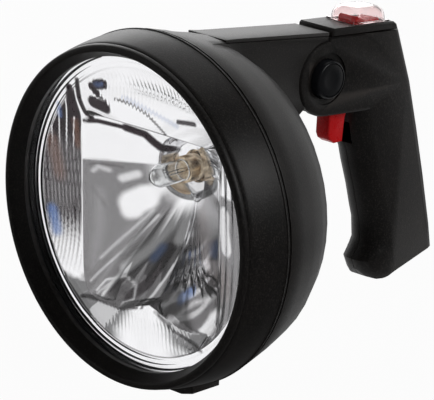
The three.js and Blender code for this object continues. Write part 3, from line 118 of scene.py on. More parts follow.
def add_node(
    tree: bpy.types.NodeTree,
    kind: str,
    settings: dict[str, object] | None = None,
    links: dict[str, Socket] | None = None,
) -> bpy.types.Node:
    """Add a node to a tree with its settings and links.

    Args:
        tree: The node tree.
        kind: Blender's name of the node type.
        settings: Values of its properties or, where it has none of that name, its sockets.
        links: Its sockets by name, and for each the node and output that feed it.

    Returns:
        The new node.
    """
    node = tree.nodes.new(kind)
    for name, value in (settings or {}).items():
        if hasattr(node, name):
            setattr(node, name, value)
        else:
            node.inputs[int(name) if name.isdigit() else name].default_value = value
    for name, (source, output) in (links or {}).items():
        given = source.outputs[int(output) if output.isdigit() else output]
        tree.links.new(given, node.inputs[int(name) if name.isdigit() else name])
    return node


def new_material(name: str) -> bpy.types.Material:
    """Make an empty material that uses nodes."""
    material = bpy.data.materials.new(name)
    material.use_nodes = True
    material.node_tree.nodes.clear()
    return material


@dataclass(frozen=True)
class SolidFinish:
    """An opaque finish with fine grain, slow mottling, and edges lightened partly by wear and partly by a
    painted highlight.

    Attributes:
        name: The real material and how its surface was made.
        colour: Its colour.
        mottle: The colour that it drifts to.
        wear_and_edge_highlight: The colour of its edges, partly wear and partly a painted highlight.
        roughness: Middle roughness.
        grain_mm: Spacing of the grain as drawn.
        grain_depth_mm: Height of the grain.
        mottle_mm: Width of the slow patches.
        specks: How far the tips of the grain take the edge colour.
    """

    name: str
    colour: str
    mottle: str
    wear_and_edge_highlight: str
    roughness: float
    surface: Surface = Surface.SPARKED
    grain_mm: float = 0.7
    grain_depth_mm: float = 0.02
    mottle_mm: float = 28.0
    ior: float = 1.5
    metallic: float = 0.0
    edge_share: float = 0.35
    specks: float = 0.0

    def material(self) -> bpy.types.Material:
        """Build the node material."""
        material = new_material(self.name)
        tree = material.node_tree
        place = add_node(tree, "ShaderNodeTexCoord")
        stretch = add_node(
            tree, "ShaderNodeMapping", {"Scale": self.surface.value}, {"Vector": (place, "Object")})
        slow = add_node(
            tree, "ShaderNodeTexNoise",
            {"Scale": 1 / (self.mottle_mm * MM), "Detail": 4.0, "Roughness": 0.6},
            {"Vector": (place, "Object")})
        fine = add_node(
            tree, "ShaderNodeTexNoise",
            {"Scale": 1 / (self.grain_mm * MM), "Detail": 3.0, "Roughness": 0.65},
            {"Vector": (stretch, "Vector")})
        drift = add_node(
            tree, "ShaderNodeMapRange", {"From Min": 0.35, "From Max": 0.7}, {"Value": (slow, "Fac")})
        body = add_node(
            tree, "ShaderNodeMix",
            {"data_type": "RGBA", "6": linear(self.colour), "7": linear(self.mottle)},
            {"0": (drift, "Result")})
        tips = add_node(
            tree, "ShaderNodeMapRange", {"From Min": 0.5, "From Max": 0.72, "To Max": self.specks},
            {"Value": (fine, "Fac")})
        grainy = add_node(
            tree, "ShaderNodeMix", {"data_type": "RGBA", "7": linear(self.wear_and_edge_highlight)},
            {"0": (tips, "Result"), "6": (body, "2")})
        # Edges take the edge colour, which is partly wear and partly a painted highlight along the edges.
        shape = add_node(tree, "ShaderNodeNewGeometry")
        edge = add_node(
            tree, "ShaderNodeMapRange",
            {"From Min": 0.53, "From Max": 0.64, "To Max": self.edge_share},
            {"Value": (shape, "Pointiness")})
        worn_and_highlit = add_node(
            tree, "ShaderNodeMix", {"data_type": "RGBA", "7": linear(self.wear_and_edge_highlight)},
            {"0": (edge, "Result"), "6": (grainy, "2")})
        rough = add_node(
            tree, "ShaderNodeMapRange",
            {"To Min": self.roughness * 0.85, "To Max": min(1.0, self.roughness * 1.15)},
            {"Value": (fine, "Fac")})
        bump = add_node(
            tree, "ShaderNodeBump", {"Strength": 1.0, "Distance": self.grain_depth_mm * MM},
            {"Height": (fine, "Fac")})
        shader = add_node(
            tree, "ShaderNodeBsdfPrincipled",
            {"Metallic": self.metallic, "IOR": self.ior},
            {"Base Color": (worn_and_highlit, "2"), "Roughness": (rough, "Result"), "Normal": (bump, "Normal")})
        add_node(tree, "ShaderNodeOutputMaterial", None, {"Surface": (shader, "BSDF")})
        return material


@dataclass(frozen=True)
class ClearFinish:
    """A finish that light passes through, with faint waves in its surface."""

    name: str
    colour: str
    roughness: float
    ior: float
    wave_mm: float
    wave_depth_mm: float

    def material(self) -> bpy.types.Material:
        """Build the node material."""
        material = new_material(self.name)
        tree = material.node_tree
        place = add_node(tree, "ShaderNodeTexCoord")
        wave = add_node(
            tree, "ShaderNodeTexNoise", {"Scale": 1 / (self.wave_mm * MM), "Detail": 2.0},
            {"Vector": (place, "Object")})
        bump = add_node(
            tree, "ShaderNodeBump", {"Strength": 1.0, "Distance": self.wave_depth_mm * MM},
            {"Height": (wave, "Fac")})
        haze = add_node(
            tree, "ShaderNodeMapRange",
            {"To Min": self.roughness * 0.6, "To Max": self.roughness * 1.4}, {"Value": (wave, "Fac")})
        shader = add_node(
            tree, "ShaderNodeBsdfPrincipled",
            {"Base Color": linear(self.colour), "IOR": self.ior, "Transmission Weight": 1.0},
            {"Roughness": (haze, "Result"), "Normal": (bump, "Normal")})
        add_node(tree, "ShaderNodeOutputMaterial", None, {"Surface": (shader, "BSDF")})
        return material


@dataclass(frozen=True)
class MirrorFinish:
    """Vacuum-metallised film under a clear lacquer, with painted dark, bluish and brown reflections and
    painted shade taken from the mesh's attributes.
    """

    name: str
    bright: str
    painted_dark_reflection: str
    painted_blue_reflection: str
    painted_brown_reflection: str
    roughness: float
    ripple_mm: float
    ripple_depth_mm: float

    def material(self) -> bpy.types.Material:
        """Build the node material."""
        material = new_material(self.name)
        tree = material.node_tree
        place = add_node(tree, "ShaderNodeTexCoord")
        painted_shade_and_reflection = add_node(tree, "ShaderNodeAttribute", {"attribute_name": "painted_shade_and_reflection"})
        painted_blue_reflection = add_node(tree, "ShaderNodeAttribute", {"attribute_name": "painted_blue_reflection"})
        painted_brown_reflection = add_node(tree, "ShaderNodeAttribute", {"attribute_name": "painted_brown_reflection"})
        ripple = add_node(
            tree, "ShaderNodeTexNoise", {"Scale": 1 / (self.ripple_mm * MM), "Detail": 1.0},
            {"Vector": (place, "Object")})
        # Painted reflections and shade: the film's colour mixes towards dark, bluish and brown by the
        # mesh's attributes.
        film = add_node(
            tree, "ShaderNodeMix",
            {"data_type": "RGBA", "6": linear(self.bright), "7": linear(self.painted_dark_reflection)},
            {"0": (painted_shade_and_reflection, "Fac")})
        bluish = add_node(
            tree, "ShaderNodeMix", {"data_type": "RGBA", "7": linear(self.painted_blue_reflection)},
            {"0": (painted_blue_reflection, "Fac"), "6": (film, "2")})
        tinted = add_node(
            tree, "ShaderNodeMix", {"data_type": "RGBA", "7": linear(self.painted_brown_reflection)},
            {"0": (painted_brown_reflection, "Fac"), "6": (bluish, "2")})
        rough = add_node(
            tree, "ShaderNodeMapRange",
            {"To Min": self.roughness * 0.7, "To Max": self.roughness * 1.6}, {"Value": (ripple, "Fac")})
        bump = add_node(
            tree, "ShaderNodeBump", {"Strength": 1.0, "Distance": self.ripple_depth_mm * MM},
            {"Height": (ripple, "Fac")})
        shader = add_node(
            tree, "ShaderNodeBsdfPrincipled", {"Metallic": 1.0},
            {"Base Color": (tinted, "2"), "Roughness": (rough, "Result"), "Normal": (bump, "Normal")})
        add_node(tree, "ShaderNodeOutputMaterial", None, {"Surface": (shader, "BSDF")})
        return material


# The finish of each material slot of the record
FINISHES: dict[str, SolidFinish | ClearFinish | MirrorFinish] = {
    # Black ABS from a spark-eroded mould: dull, its sandy grain drawn coarser than the real 0.1 mm, its
    # edges lightened partly by wear and partly by a painted highlight
    "black_plastic": SolidFinish("abs_sparked", "#110f0e", "#1a1614", "#4c4642", 0.42, grain_mm=0.8,
                                 grain_depth_mm=0.08, edge_share=0.55, specks=0.5),
    # Black ABS from a smoother mould: satin, a little bluish
    "dark_plastic": SolidFinish("abs_satin", "#0f1013", "#15171b", "#3d3f45", 0.3, grain_mm=1.2,
                                grain_depth_mm=0.006),
    # Red polycarbonate from a polished mould: glossy and deep
    "red_plastic": SolidFinish("polycarbonate_polished", "#f40a12", "#dc0810", "#f0484c", 0.28,
                               Surface.POLISHED, grain_mm=2.5, grain_depth_mm=0.006, ior=1.45,
                               edge_share=0.5),
    # Pressed soda glass: clear, with the faint waves of pressing, and with less gloss than 1.5 would give
    "lens_glass": ClearFinish("glass_pressed", "#ffffff", 0.012, 1.3, 30.0, 0.02),
    # Drawn quartz tube: clear
    "bulb_glass": ClearFinish("quartz_drawn", "#f7f8f8", 0.01, 1.46, 6.0, 0.04),
    # Soft vinyl, dip moulded: clear and slightly hazy
    "clear_boot": ClearFinish("vinyl_dipped", "#fff2f2", 0.07, 1.45, 5.0, 0.05),
    # Aluminium film, vacuum-metallised on polycarbonate: nearly white, darkened and tinted by painted
    # dark, bluish and brown reflections and painted shade
    "reflector_mirror": MirrorFinish(
        "polycarbonate_metallised", "#fbfbfd", "#22171d", "#6785bb", "#7d5a4a", 0.05, 5.0, 0.004),
    # Zinc-plated steel, turned: grey with fine rings
    "zinc_steel": SolidFinish("steel_zinc_plated", "#9c9ea1", "#8b8d91", "#c9cbcd", 0.34, Surface.TURNED,
                              grain_mm=0.6, grain_depth_mm=0.008, metallic=1.0),
    "spring_steel": SolidFinish("steel_drawn", "#85878b", "#75777b", "#b4b6b9", 0.3, Surface.DRAWN,
                                grain_mm=0.5, grain_depth_mm=0.005, metallic=1.0),
    "tungsten": SolidFinish("tungsten_drawn", "#5f6064", "#55565a", "#8d8e92", 0.4, Surface.DRAWN,
                            grain_mm=0.3, grain_depth_mm=0.003, metallic=1.0),
    # Brass, pressed and a little dulled
    "brass": SolidFinish("brass_pressed", "#d8c9b0", "#7a5f43", "#f6ead2", 0.22, Surface.TURNED,
                         grain_mm=1.0, grain_depth_mm=0.02, mottle_mm=4.0, metallic=1.0),
    # Nitrile rubber, moulded: matt
    "rubber": SolidFinish("rubber_moulded", "#1b1b1c", "#222223", "#313132", 0.8, grain_mm=0.9,
                          grain_depth_mm=0.02),
    "nylon": SolidFinish("nylon_natural", "#cdc8b6", "#c2bca8", "#ddd9cb", 0.5, grain_mm=1.0,
                         grain_depth_mm=0.01),
    "lead_sheath": SolidFinish("pvc_extruded", "#8f1d20", "#83181b", "#ab3a3c", 0.4, Surface.DRAWN,
                               grain_mm=1.0, grain_depth_mm=0.005),
}


def finish(slot: str) -> bpy.types.Material:
    """Give the material of a slot, built the first time it is asked for.

    Args:
        slot: A material slot of the record.

    Returns:
        The Blender material.
    """
    wanted = FINISHES[slot]
    return bpy.data.materials.get(wanted.name) or wanted.material()


@dataclass(frozen=True)
class LampFrame:
    """The lamp's own frame: its origin is the middle of the bezel's front plane."""

    back: float = -184.638
    rise: float = 23.745

    def row(self, x: float, y: float, z: float) -> Vector:
        """Turn a point of the lamp in millimetres to the shared frame in metres."""
        return Vector((x, y + self.back, z + self.rise)) * MM


LAMP = LampFrame()


def smooth(value: float, low: float, high: float) -> float:
    """Rise softly from 0 at low to 1 at high."""
    t = min(1.0, max(0.0, (value - low) / (high - low)))
    return t * t * (3 - 2 * t)


def mesh_piece(name: str, points: Sequence[Vector], faces: Sequence[Sequence[int]]) -> bpy.types.Object:
    """Make a smooth-shaded mesh object.

    Args:
        name: The piece's name.
        points: Its points in the shared frame.
        faces: Its faces as numbers of points.

    Returns:
        The new object.
    """
    mesh = bpy.data.meshes.new(name)
    mesh.from_pydata([tuple(p) for p in points], [], [tuple(f) for f in faces])
    mesh.update()
    piece = bpy.data.objects.new(name, mesh)
    bpy.context.scene.collection.objects.link(piece)
    shade(piece)
    return piece


def shade(piece: bpy.types.Object, sharp_deg: float = SHARP_DEG) -> None:
    """Shade a mesh smooth, with its outward faces set and its sharp edges kept.

    Args:
        piece: The mesh object.
        sharp_deg: An edge that turns by more than this stays sharp.
    """
    shell = bmesh.new()
    shell.from_mesh(piece.data)
    bmesh.ops.recalc_face_normals(shell, faces=shell.faces)
    for face in shell.faces:
        face.smooth = True
    for edge in shell.edges:
        sharp = len(edge.link_faces) == 2 and edge.calc_face_angle(0.0) > math.radians(sharp_deg)
        edge.smooth = not sharp
    shell.to_mesh(piece.data)
    shell.free()


def dressed(
    piece: bpy.types.Object, body: Body, slot: str, stands_for: Sequence[str] = (),
) -> bpy.types.Object:
    """Give a piece its finish, its body and the nodes that it stands for.

    Args:
        piece: The object.
        body: The body that it moves with.
        slot: The record's material slot.
        stands_for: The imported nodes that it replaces.

    Returns:
        The same object.
    """
    piece.data.materials.clear()
    piece.data.materials.append(finish(slot))
    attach(piece, body.value)
    if stands_for:
        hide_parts(*stands_for)
    LOG.info("%s rides on %s in %s", piece.name, body.value, slot)
    return piece


def woven(rings: int, count: int) -> list[tuple[int, int, int, int]]:
    """Give the faces between rings of points, the last one joined to the first.

    Args:
        rings: How many rings there are.
        count: How many points each ring has.

    Returns:
        Four point numbers for each face.
    """
    faces = []
    for ring in range(rings):
        here, there = ring * count, (ring + 1) % rings * count
        for k in range(count):
            after = (k + 1) % count
            faces.append((here + k, here + after, there + after, there + k))
    return faces


def turned(
    name: str, profile: Sequence[tuple[float, float]], segments: int,
    lift: Callable[[float, float, float], float] | None = None,
) -> bpy.types.Object:
    """Turn a closed profile about the lamp's axis.

    Args:
        name: The piece's name.
        profile: Radius and depth in millimetres, closed on itself.
        segments: Steps round the axis.
        lift: How far a point at x, depth and z moves back, in millimetres.

    Returns:
        The new object.
    """
    points = []
    for step in range(segments):
        angle = step / segments * math.tau
        for radius, depth in profile:
            x, z = radius * math.sin(angle), radius * math.cos(angle)
            back = lift(x, depth, z) if lift else 0.0
            points.append(LAMP.row(x, depth + back, z))
    return mesh_piece(name, points, woven(segments, len(profile)))


def refined(
    name: str, node: str, round_mm: float, segments: int = 2, sharp_deg: float = SHARP_DEG,
) -> bpy.types.Object:
    """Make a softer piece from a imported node's shape, with its edges rounded.

    Args:
        name: The new piece's name.
        node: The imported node.
        round_mm: Radius of the rounded edges.
        segments: Steps of each rounding.
        sharp_deg: An edge that turns by more than this is rounded.

    Returns:
        The new object.
    """
    mesh = frame["nodes"][node].data.copy()
    mesh.name = name
    piece = bpy.data.objects.new(name, mesh)
    bpy.context.scene.collection.objects.link(piece)
    shell = bmesh.new()
    shell.from_mesh(mesh)
    bmesh.ops.remove_doubles(shell, verts=shell.verts, dist=SAME_POINT_MM * MM)
    bmesh.ops.dissolve_limit(
        shell, angle_limit=math.radians(FLAT_DEG), verts=shell.verts, edges=shell.edges)
    if round_mm > 0:
        edges = [e for e in shell.edges if len(e.link_faces) == 2
                 and e.calc_face_angle(0.0) > math.radians(sharp_deg)]
        bmesh.ops.bevel(
            shell, geom=edges, offset=round_mm * MM, offset_type="OFFSET", segments=segments, profile=0.5,
            affect="EDGES", clamp_overlap=True)
    shell.to_mesh(mesh)
    shell.free()
    shade(piece)
    return piece


@dataclass(frozen=True)
class Stroke:
    """A soft painted mark on the reflector, of painted reflection, shade or highlight by the list it sits
    in: a line in width and height from the lamp's axis.
    """

    line: tuple[tuple[float, float], ...]
    half_width: float
    strength: float
    soft: float = 1.0

    def at(self, x: float, z: float) -> float:
        """Give the mark's strength at a place.

        Args:
            x: Width from the lamp's axis.
            z: Height from the lamp's axis.

        Returns:
            From 0 off the mark to its full strength.
        """
        near = 1e9
        for (ax, az), (bx, bz) in zip(self.line, self.line[1:]):
            dx, dz = bx - ax, bz - az
            t = min(1.0, max(0.0, ((x - ax) * dx + (z - az) * dz) / (dx * dx + dz * dz)))
            near = min(near, math.hypot(x - ax - t * dx, z - az - t * dz))
        fade = smooth(near, self.half_width - self.soft / 2, self.half_width + self.soft)
        return self.strength * (1 - fade)


@dataclass
class ReflectorBowl:
    """The metallised reflector: a shallow rim zone round a deep folded and fluted pan."""

    front: float = 14.3
    flange_radius: float = 83.0
    bowl_radius: float = 79.6
    band_radius: float = 72.5
    flange: float = 1.8
    wall: float = 2.0
    half_width: float = 48.0
    top: float = 40.0
    riser: float = 1.6
    riser_soft: float = 0.9
    ceiling_fall: float = 0.4
    bottom: float = -55.0
    notch: float = 6.5
    notch_share: float = 0.28
    step: float = 6.4
    band_step: float = 0.9
    reach_back: float = 31.0
    bulb_rise: float = 16.0
    hole: float = 8.4
    seat: float = 11.6
    collar: float = 17.0
    sharpness: float = 12.0
    segments: int = 720
    band_rings: int = 10
    zone_rings: int = 34
    pan_rings: int = 60
    collar_rings: int = 8
    # Painted dark reflections, with painted shade along the pan's top ledge in the first two marks.
    dark: tuple[Stroke, ...] = (
        Stroke(((-47, 35), (-41, 35.6), (-33, 34.4), (-27, 33.3), (-19, 30.6)), 1.0, 1.0, 0.7),
        Stroke(((-28, 33.6), (-20, 31), (-17, 27), (-13, 23)), 1.9, 1.0, 1.0),
        Stroke(((-22, 51.9), (-12, 51.4), (-1, 48.2), (6, 44.2), (11, 40.6)), 0.5, 0.9, 0.5),
        Stroke(((-46.3, 56.8), (-46.6, 47.5), (-45.6, 39.7), (-43.6, 36)), 1.3, 1.0, 0.7),
        Stroke(((-51.8, 51.8), (-52.6, 45.1), (-52.6, 38.5)), 2.0, 1.0, 0.8),
        Stroke(((-5, -25), (-10, -42), (-18, -50)), 3.4, 0.96, 3.0),
        Stroke(((-45, 13), (-38, 13.4), (-31, 12.6)), 1.2, 0.88, 2.6),
        Stroke(((-44, 1), (-38, -8)), 2.5, 0.84, 6.0),
        Stroke(((-46, -46), (-37, -33), (-28, -22)), 1.0, 0.87, 3.0),
        Stroke(((-31, -50), (-22, -40), (-13, -29)), 1.6, 0.93, 2.2),
        Stroke(((22, 10), (34, 12), (45, 12.6)), 1.6, 0.92, 3.0),
        Stroke(((6, -46), (18, -33), (38, -22)), 1.6, 0.9, 3.5),
        Stroke(((-38, 47), (-30, 45.6)), 3.0, 1.0, 0.8),
        Stroke(((-37.4, 55.6), (-34, 52)), 1.9, 1.0, 0.7),
        Stroke(((-34, 57), (-29, 58.4)), 2.6, 1.0, 0.7),
        Stroke(((-33, 50.8), (-29, 48.2)), 0.9, 0.9, 0.6),
        Stroke(((21, 49.5), (34, 51.4)), 1.1, 0.95, 0.7),
        Stroke(((33, 37.2), (45, 37.8)), 0.9, 0.95, 0.6),
        Stroke(((35, 32), (46, 33.4)), 1.1, 0.9, 0.6),
        Stroke(((-31, -50), (-24, -47), (-17, -49)), 3.0, 0.86, 2.6),
        Stroke(((-5, -51), (-20, -55.5), (-45, -54.5)), 0.6, 0.85, 0.8),
        Stroke(((4, -51), (18, -57), (42, -60)), 0.6, 0.8, 0.8),
    )
    # Painted highlights: these clear the painted darkness back to the bright film.
    bright: tuple[Stroke, ...] = (
        Stroke(((-26, -5), (-21, -2)), 5.6, 1.0, 2.6),
        Stroke(((-27, -9.5), (-25, -9)), 3.0, 0.9, 2.6),
        Stroke(((-19, 0), (-15, 4)), 2.6, 0.85, 3.0),
        Stroke(((-31, 7), (-25, 9.5)), 1.5, 0.7, 1.8),
        Stroke(((-43.7, 9.7), (-41.6, 12), (-37, 10.5)), 0.8, 0.4, 1.4),
        Stroke(((-41, -1), (-40, -20), (-43, -38)), 1.2, 0.1, 4.5),
        Stroke(
            ((-7.4, -52), (-4.2, -45.2), (-0.7, -32.2), (4.4, -17.9), (5.8, -6.6), (4, 3)),
            0.6, 0.95, 0.8),
        Stroke(((-1.8, -20), (-0.9, -8.7), (-1.1, -1.4)), 2.2, 1.0, 2.2),
        Stroke(((-4.3, -3), (-7.7, -14.3), (-14.3, -26), (-24.4, -37.2)), 1.9, 0.95, 2.6),
        Stroke(((-24.4, -37.2), (-34.5, -52)), 0.5, 0.6, 1.2),
        Stroke(((-16.7, -7.9), (-25.5, -18.9), (-38.6, -34.6)), 0.4, 0.4, 1.2),
        Stroke(((-14.1, -10.1), (-27.5, -29.1), (-43.4, -47.1)), 0.4, 0.45, 1.0),
        Stroke(((-38, -52), (-25, -39.5), (-15, -28), (-8, -16)), 0.4, 0.4, 1.0),
        Stroke(
            ((-39, -51), (-34, -44.6), (-23, -40.6), (-16, -44), (-14.5, -50), (-22, -54)),
            0.4, 0.6, 0.8),
        Stroke(((4, -52), (11, -40), (29, -25), (46, -15)), 0.9, 0.5, 2.0),
        Stroke(((2, -36), (22, -24), (40, -18)), 0.6, 0.4, 1.6),
        Stroke(((12, -55), (26, -42), (47, -32)), 0.8, 0.5, 1.8),
        Stroke(((52.5, 10), (52.6, 2.5), (54.6, -5.7)), 3.8, 0.8, 1.4),
        Stroke(((38, -54), (44, -45), (50, -40)), 3.2, 0.7, 1.6),
    )
    # Painted bluish reflections.
    blue: tuple[Stroke, ...] = (
        Stroke(((-11.5, -30), (-9, -25)), 1.4, 0.8, 2.5),
        Stroke(((-66, -14), (-63, -24)), 2.0, 0.7, 3.0),
        Stroke(((15, -43), (23, -37)), 2.0, 0.7, 2.0),
        Stroke(((-60, 36), (-60, 42)), 0.8, 0.5, 1.5),
        Stroke(((-34, 57), (-30, 58)), 0.8, 0.3, 1.5),
        Stroke(((-16, 54), (20, 47)), 0.8, 0.3, 1.5),
    )
    # Painted brown reflections.
    brown_reflection_marks: tuple[Stroke, ...] = (
        Stroke(((-66, 22), (-62, 6)), 2.5, 0.4, 4.0),
        Stroke(((-52, 34), (-51, 22)), 1.0, 0.5, 2.0),
        Stroke(((20, -8), (50, -24)), 6.0, 0.22, 10.0),
    )

    def span(self, up: float) -> float:
        """Give the distance from the bulb to the pan's top or bottom."""
        return self.top - self.bulb_rise if up > 0 else self.bulb_rise - self.bottom

    def pan_reach(self, angle: float) -> float:
        """Give the distance from the bulb to the pan's edge at an angle."""
        across = abs(math.cos(angle))
        side = self.half_width / max(across, 0.02)
        notch = self.notch * max(0.0, 1 - across / self.notch_share) if math.sin(angle) < 0 else 0.0
        level = (self.span(math.sin(angle)) - notch) / max(abs(math.sin(angle)), 0.02)
        return (side ** -self.sharpness + level ** -self.sharpness) ** (-1 / self.sharpness)

    def rim_reach(self, angle: float, radius: float) -> float:
        """Give the distance from the bulb to a circle about the lamp's axis."""
        lift = self.bulb_rise * math.sin(angle)
        return -lift + math.sqrt(lift * lift + radius * radius - self.bulb_rise ** 2)

    def pan_depth(self, x: float, up: float) -> float:
        """Give the depth of the folded pan.

        Args:
            x: Width from the fold.
            up: Height from the bulb's axis.

        Returns:
            Millimetres behind the bezel's front.
        """
        fold = max(0.0, 1 - abs(x) / self.half_width)
        fall = self.ceiling_fall if up > 0 else 1.0
        rise = max(0.0, 1 - fall * (up / self.span(up)) ** 2)
        slope = smooth(math.hypot(x, up), self.seat, self.collar)
        return self.front + self.step + self.reach_back * (1 - slope * (1 - fold * rise))

    def flute(self, x: float, up: float) -> float:
        """Give how far the moulded flutes of the pan push its surface back."""
        reach, angle = math.hypot(x, up), math.atan2(up, x)
        body = smooth(reach, 18, 34) * (1 - smooth(reach, 62, 72)) * smooth(-math.sin(angle), 0.74, 0.92)
        return body * (0.07 * math.sin(angle * 46) + 0.02 * math.sin(angle * 97 + 1))

    def zone_flute(self, x: float, z: float, share: float) -> float:
        """Give how far the upright flutes beside the pan push the rim zone back."""
        beside = smooth(abs(x), self.half_width + 0.5, self.half_width + 3)
        ends = smooth(share, 0.0, 0.12) * smooth(1 - share, 0.0, 0.12)
        return beside * ends * 0.14 * math.sin(x * 1.1 + 0.6 * math.sin(z * 0.07))

    def circle(self, radius: float, depth: float) -> list[Point]:
        """Give a ring at one distance from the lamp's axis."""
        points = []
        for i in range(self.segments):
            angle = i / self.segments * math.tau
            reach = self.rim_reach(angle, radius)
            points.append((reach * math.cos(angle), depth, self.bulb_rise + reach * math.sin(angle)))
        return points

    def zone_ring(self, share: float, moulded: bool) -> list[Point]:
        """Give a ring of the rim zone, from 0 at the band to 1 at the pan's edge."""
        points = []
        for i in range(self.segments):
            angle = i / self.segments * math.tau
            start = self.rim_reach(angle, self.band_radius)
            reach = start + (self.pan_reach(angle) - start) * share
            x, z = reach * math.cos(angle), self.bulb_rise + reach * math.sin(angle)
            depth = self.front + self.band_step + (self.step - self.band_step) * share
            points.append((x, depth + (self.zone_flute(x, z, share) if moulded else 0.0), z))
        return points

    def pan_ring(self, share: float, moulded: bool) -> list[Point]:
        """Give a ring of the pan, from 0 at its edge to 1 at the bulb's collar."""
        points = []
        for i in range(self.segments):
            angle = i / self.segments * math.tau
            edge = self.pan_reach(angle)
            foot = edge - self.riser
            reach = edge if share == 0 else foot + (self.collar - foot) * share
            reach += 0.0 if moulded or share else self.wall
            x, up = reach * math.cos(angle), reach * math.sin(angle)
            depth = self.front + self.step if share == 0 else self.pan_depth(x, up)
            points.append((x, depth + (self.flute(x, up) if moulded else 0.0), self.bulb_rise + up))
        return points

    def collar_ring(self, share: float) -> list[Point]:
        """Give a ring between the pan and the bulb's hole."""
        reach = self.collar + (self.hole - self.collar) * share
        points = []
        for i in range(self.segments):
            angle = i / self.segments * math.tau
            x, up = reach * math.cos(angle), reach * math.sin(angle)
            points.append((x, self.pan_depth(x, up), self.bulb_rise + up))
        return points

    def surface(self, moulded: bool) -> list[list[Point]]:
        """Give the rings of the bowl from its rim to the bulb's hole.

        Args:
            moulded: True with the flutes of the front, and False without.

        Returns:
            Rings of points.
        """
        rings = []
        for i in range(self.band_rings):
            share = i / self.band_rings
            radius = self.bowl_radius + (self.band_radius - self.bowl_radius) * share
            bead = 0.35 * math.sin(share * math.pi * 3) ** 2 if moulded else 0.0
            rings.append(self.circle(radius, self.front + self.band_step * share + bead))
        rings += [self.zone_ring(i / self.zone_rings, moulded) for i in range(self.zone_rings)]
        rings += [self.pan_ring(i / self.pan_rings, moulded) for i in range(self.pan_rings)]
        rings += [self.collar_ring(i / self.collar_rings) for i in range(self.collar_rings + 1)]
        return rings

    def painted_shade_and_reflection(self, x: float, z: float, zone: str) -> float:
        """Give how far painted reflections and painted shade darken the film at a place.

        Args:
            x: Width from the lamp's axis.
            z: Height from the lamp's axis.
            zone: "band", "zone" or "pan".

        Returns:
            From 0, bright, to 1, dark with painted reflection or shade.
        """
        up = z - self.bulb_rise
        angle, reach = math.atan2(up, x), math.hypot(x, up)
        painted_darkness = 0.0
        # In the pan: painted reflections, with the lower half grey, lighter fan streaks on the left and
        # lighter slanted streaks on the right, and paler near the bulb's collar as a painted highlight.
        if zone == "pan":
            low = smooth(-up, 0.0, 1.4)
            fan = 0.5 + 0.5 * math.sin(angle * 61 + 1.6 * math.sin(angle * 11 + reach * 0.05))
            if x < 0:
                below = smooth(-math.sin(angle), 0.72, 0.9)
                streak = smooth(fan, 0.6, 0.95) * smooth(reach, 24, 44) * below
                painted_darkness = low * (0.77 - 0.1 * streak) + 0.04 * low * smooth(-up, 40, 62)
            else:
                bend = 1.3 * math.sin(x * 0.13 + z * 0.05)
                slant = 0.5 + 0.5 * math.sin((z - 0.75 * x) * 0.55 + bend)
                painted_darkness = low * (0.84 - 0.45 * smooth(slant, 0.62, 0.95) * smooth(-up, 20, 40))
            painted_darkness *= 0.3 + 0.7 * smooth(reach, 15, 24)
            # Painted shade: a dark band just under the pan's top ledge.
            crest = self.top - self.bulb_rise - self.riser_soft
            painted_darkness = max(painted_darkness, 0.97 * smooth(up, crest - self.riser, crest))
        # In the rim zone beside the pan: painted reflections, dark above with thin bright lines and grey
        # lower down on the left, and grey on the right.
        elif zone == "zone":
            wave = x + 1.6 * math.sin(z * 0.075)
            stripe = 0.5 + 0.5 * math.sin(wave * 1.55)
            hair = 0.5 + 0.5 * math.sin(wave * 2.9 + 0.9)
            left = smooth(-x, self.half_width + 0.6, self.half_width + 1.2)
            high = smooth(z, 14, 30)
            mid = smooth(z, -34, -8) * (1 - high)
            painted_darkness = high * (1 - 0.95 * smooth(stripe, 0.9, 0.98))
            painted_darkness = left * (painted_darkness + mid * (0.93 - 0.2 * smooth(hair, 0.7, 0.97)))
            painted_darkness += left * 0.5 * smooth(-z, 8, 16) * (1 - smooth(-z, 30, 46)) * smooth(hair, 0.6, 0.8)
            right = smooth(x, self.half_width + 0.3, self.half_width + 1.2) * (1 - smooth(z, 18, 20))
            painted_darkness = max(painted_darkness, right * 0.72)
            # Painted shade: a dark line in the step at the band's edge, with the band itself kept bright.
            edge = math.hypot(x, z)
            painted_darkness *= 1 - smooth(edge, self.band_radius - 1.4, self.band_radius - 0.6)
            painted_darkness = max(painted_darkness, 0.75 * (1 - smooth(abs(edge - self.band_radius + 0.5), 0.15, 0.5)))
        # The strokes: painted dark reflections and shade first, then painted highlights.
        for mark in self.dark:
            painted_darkness = max(painted_darkness, mark.at(x, z))
        for mark in self.bright:
            painted_darkness *= 1 - mark.at(x, z)
        return min(1.0, max(0.0, painted_darkness))

    def build(self) -> bpy.types.Object:
        """Build and dress the bowl.

        Returns:
            The piece.
        """
        face = self.surface(True)
        rings = [self.circle(self.flange_radius, self.front)] + face
        behind = self.surface(False)[::-1]
        rings += [[(x, y + self.wall, z) for x, y, z in ring] for ring in behind[:-1:3] + behind[-1:]]
        rings.append(self.circle(self.flange_radius, self.front + self.flange))
        points = [LAMP.row(*p) for ring in rings for p in ring]
        count = self.segments
        piece = mesh_piece("reflector_bowl", points, woven(len(rings), count))
        # Painted reflections and shade, stored as point attributes for the mirror's colour: darkness,
        # bluish and brown.
        painted_shade_and_reflection, painted_blue_reflection, painted_brown_reflection = ([0.0] * len(points) for _ in range(3))
        zones = ["band"] * self.band_rings + ["zone"] * self.zone_rings
        zones += ["pan"] * (len(face) - len(zones))
        for i, ring in enumerate(face):
            for k, (x, _, z) in enumerate(ring):
                painted_shade_and_reflection[(i + 1) * count + k] = self.painted_shade_and_reflection(x, z, zones[i])
                painted_blue_reflection[(i + 1) * count + k] = max(mark.at(x, z) for mark in self.blue)
                painted_brown_reflection[(i + 1) * count + k] = max(mark.at(x, z) for mark in self.brown_reflection_marks)
        for name, values in (("painted_shade_and_reflection", painted_shade_and_reflection), ("painted_blue_reflection", painted_blue_reflection), ("painted_brown_reflection", painted_brown_reflection)):
            piece.data.attributes.new(name, "FLOAT", "POINT").data.foreach_set("value", values)
        return dressed(piece, Body.HEAD, "reflector_mirror", ["reflector"])


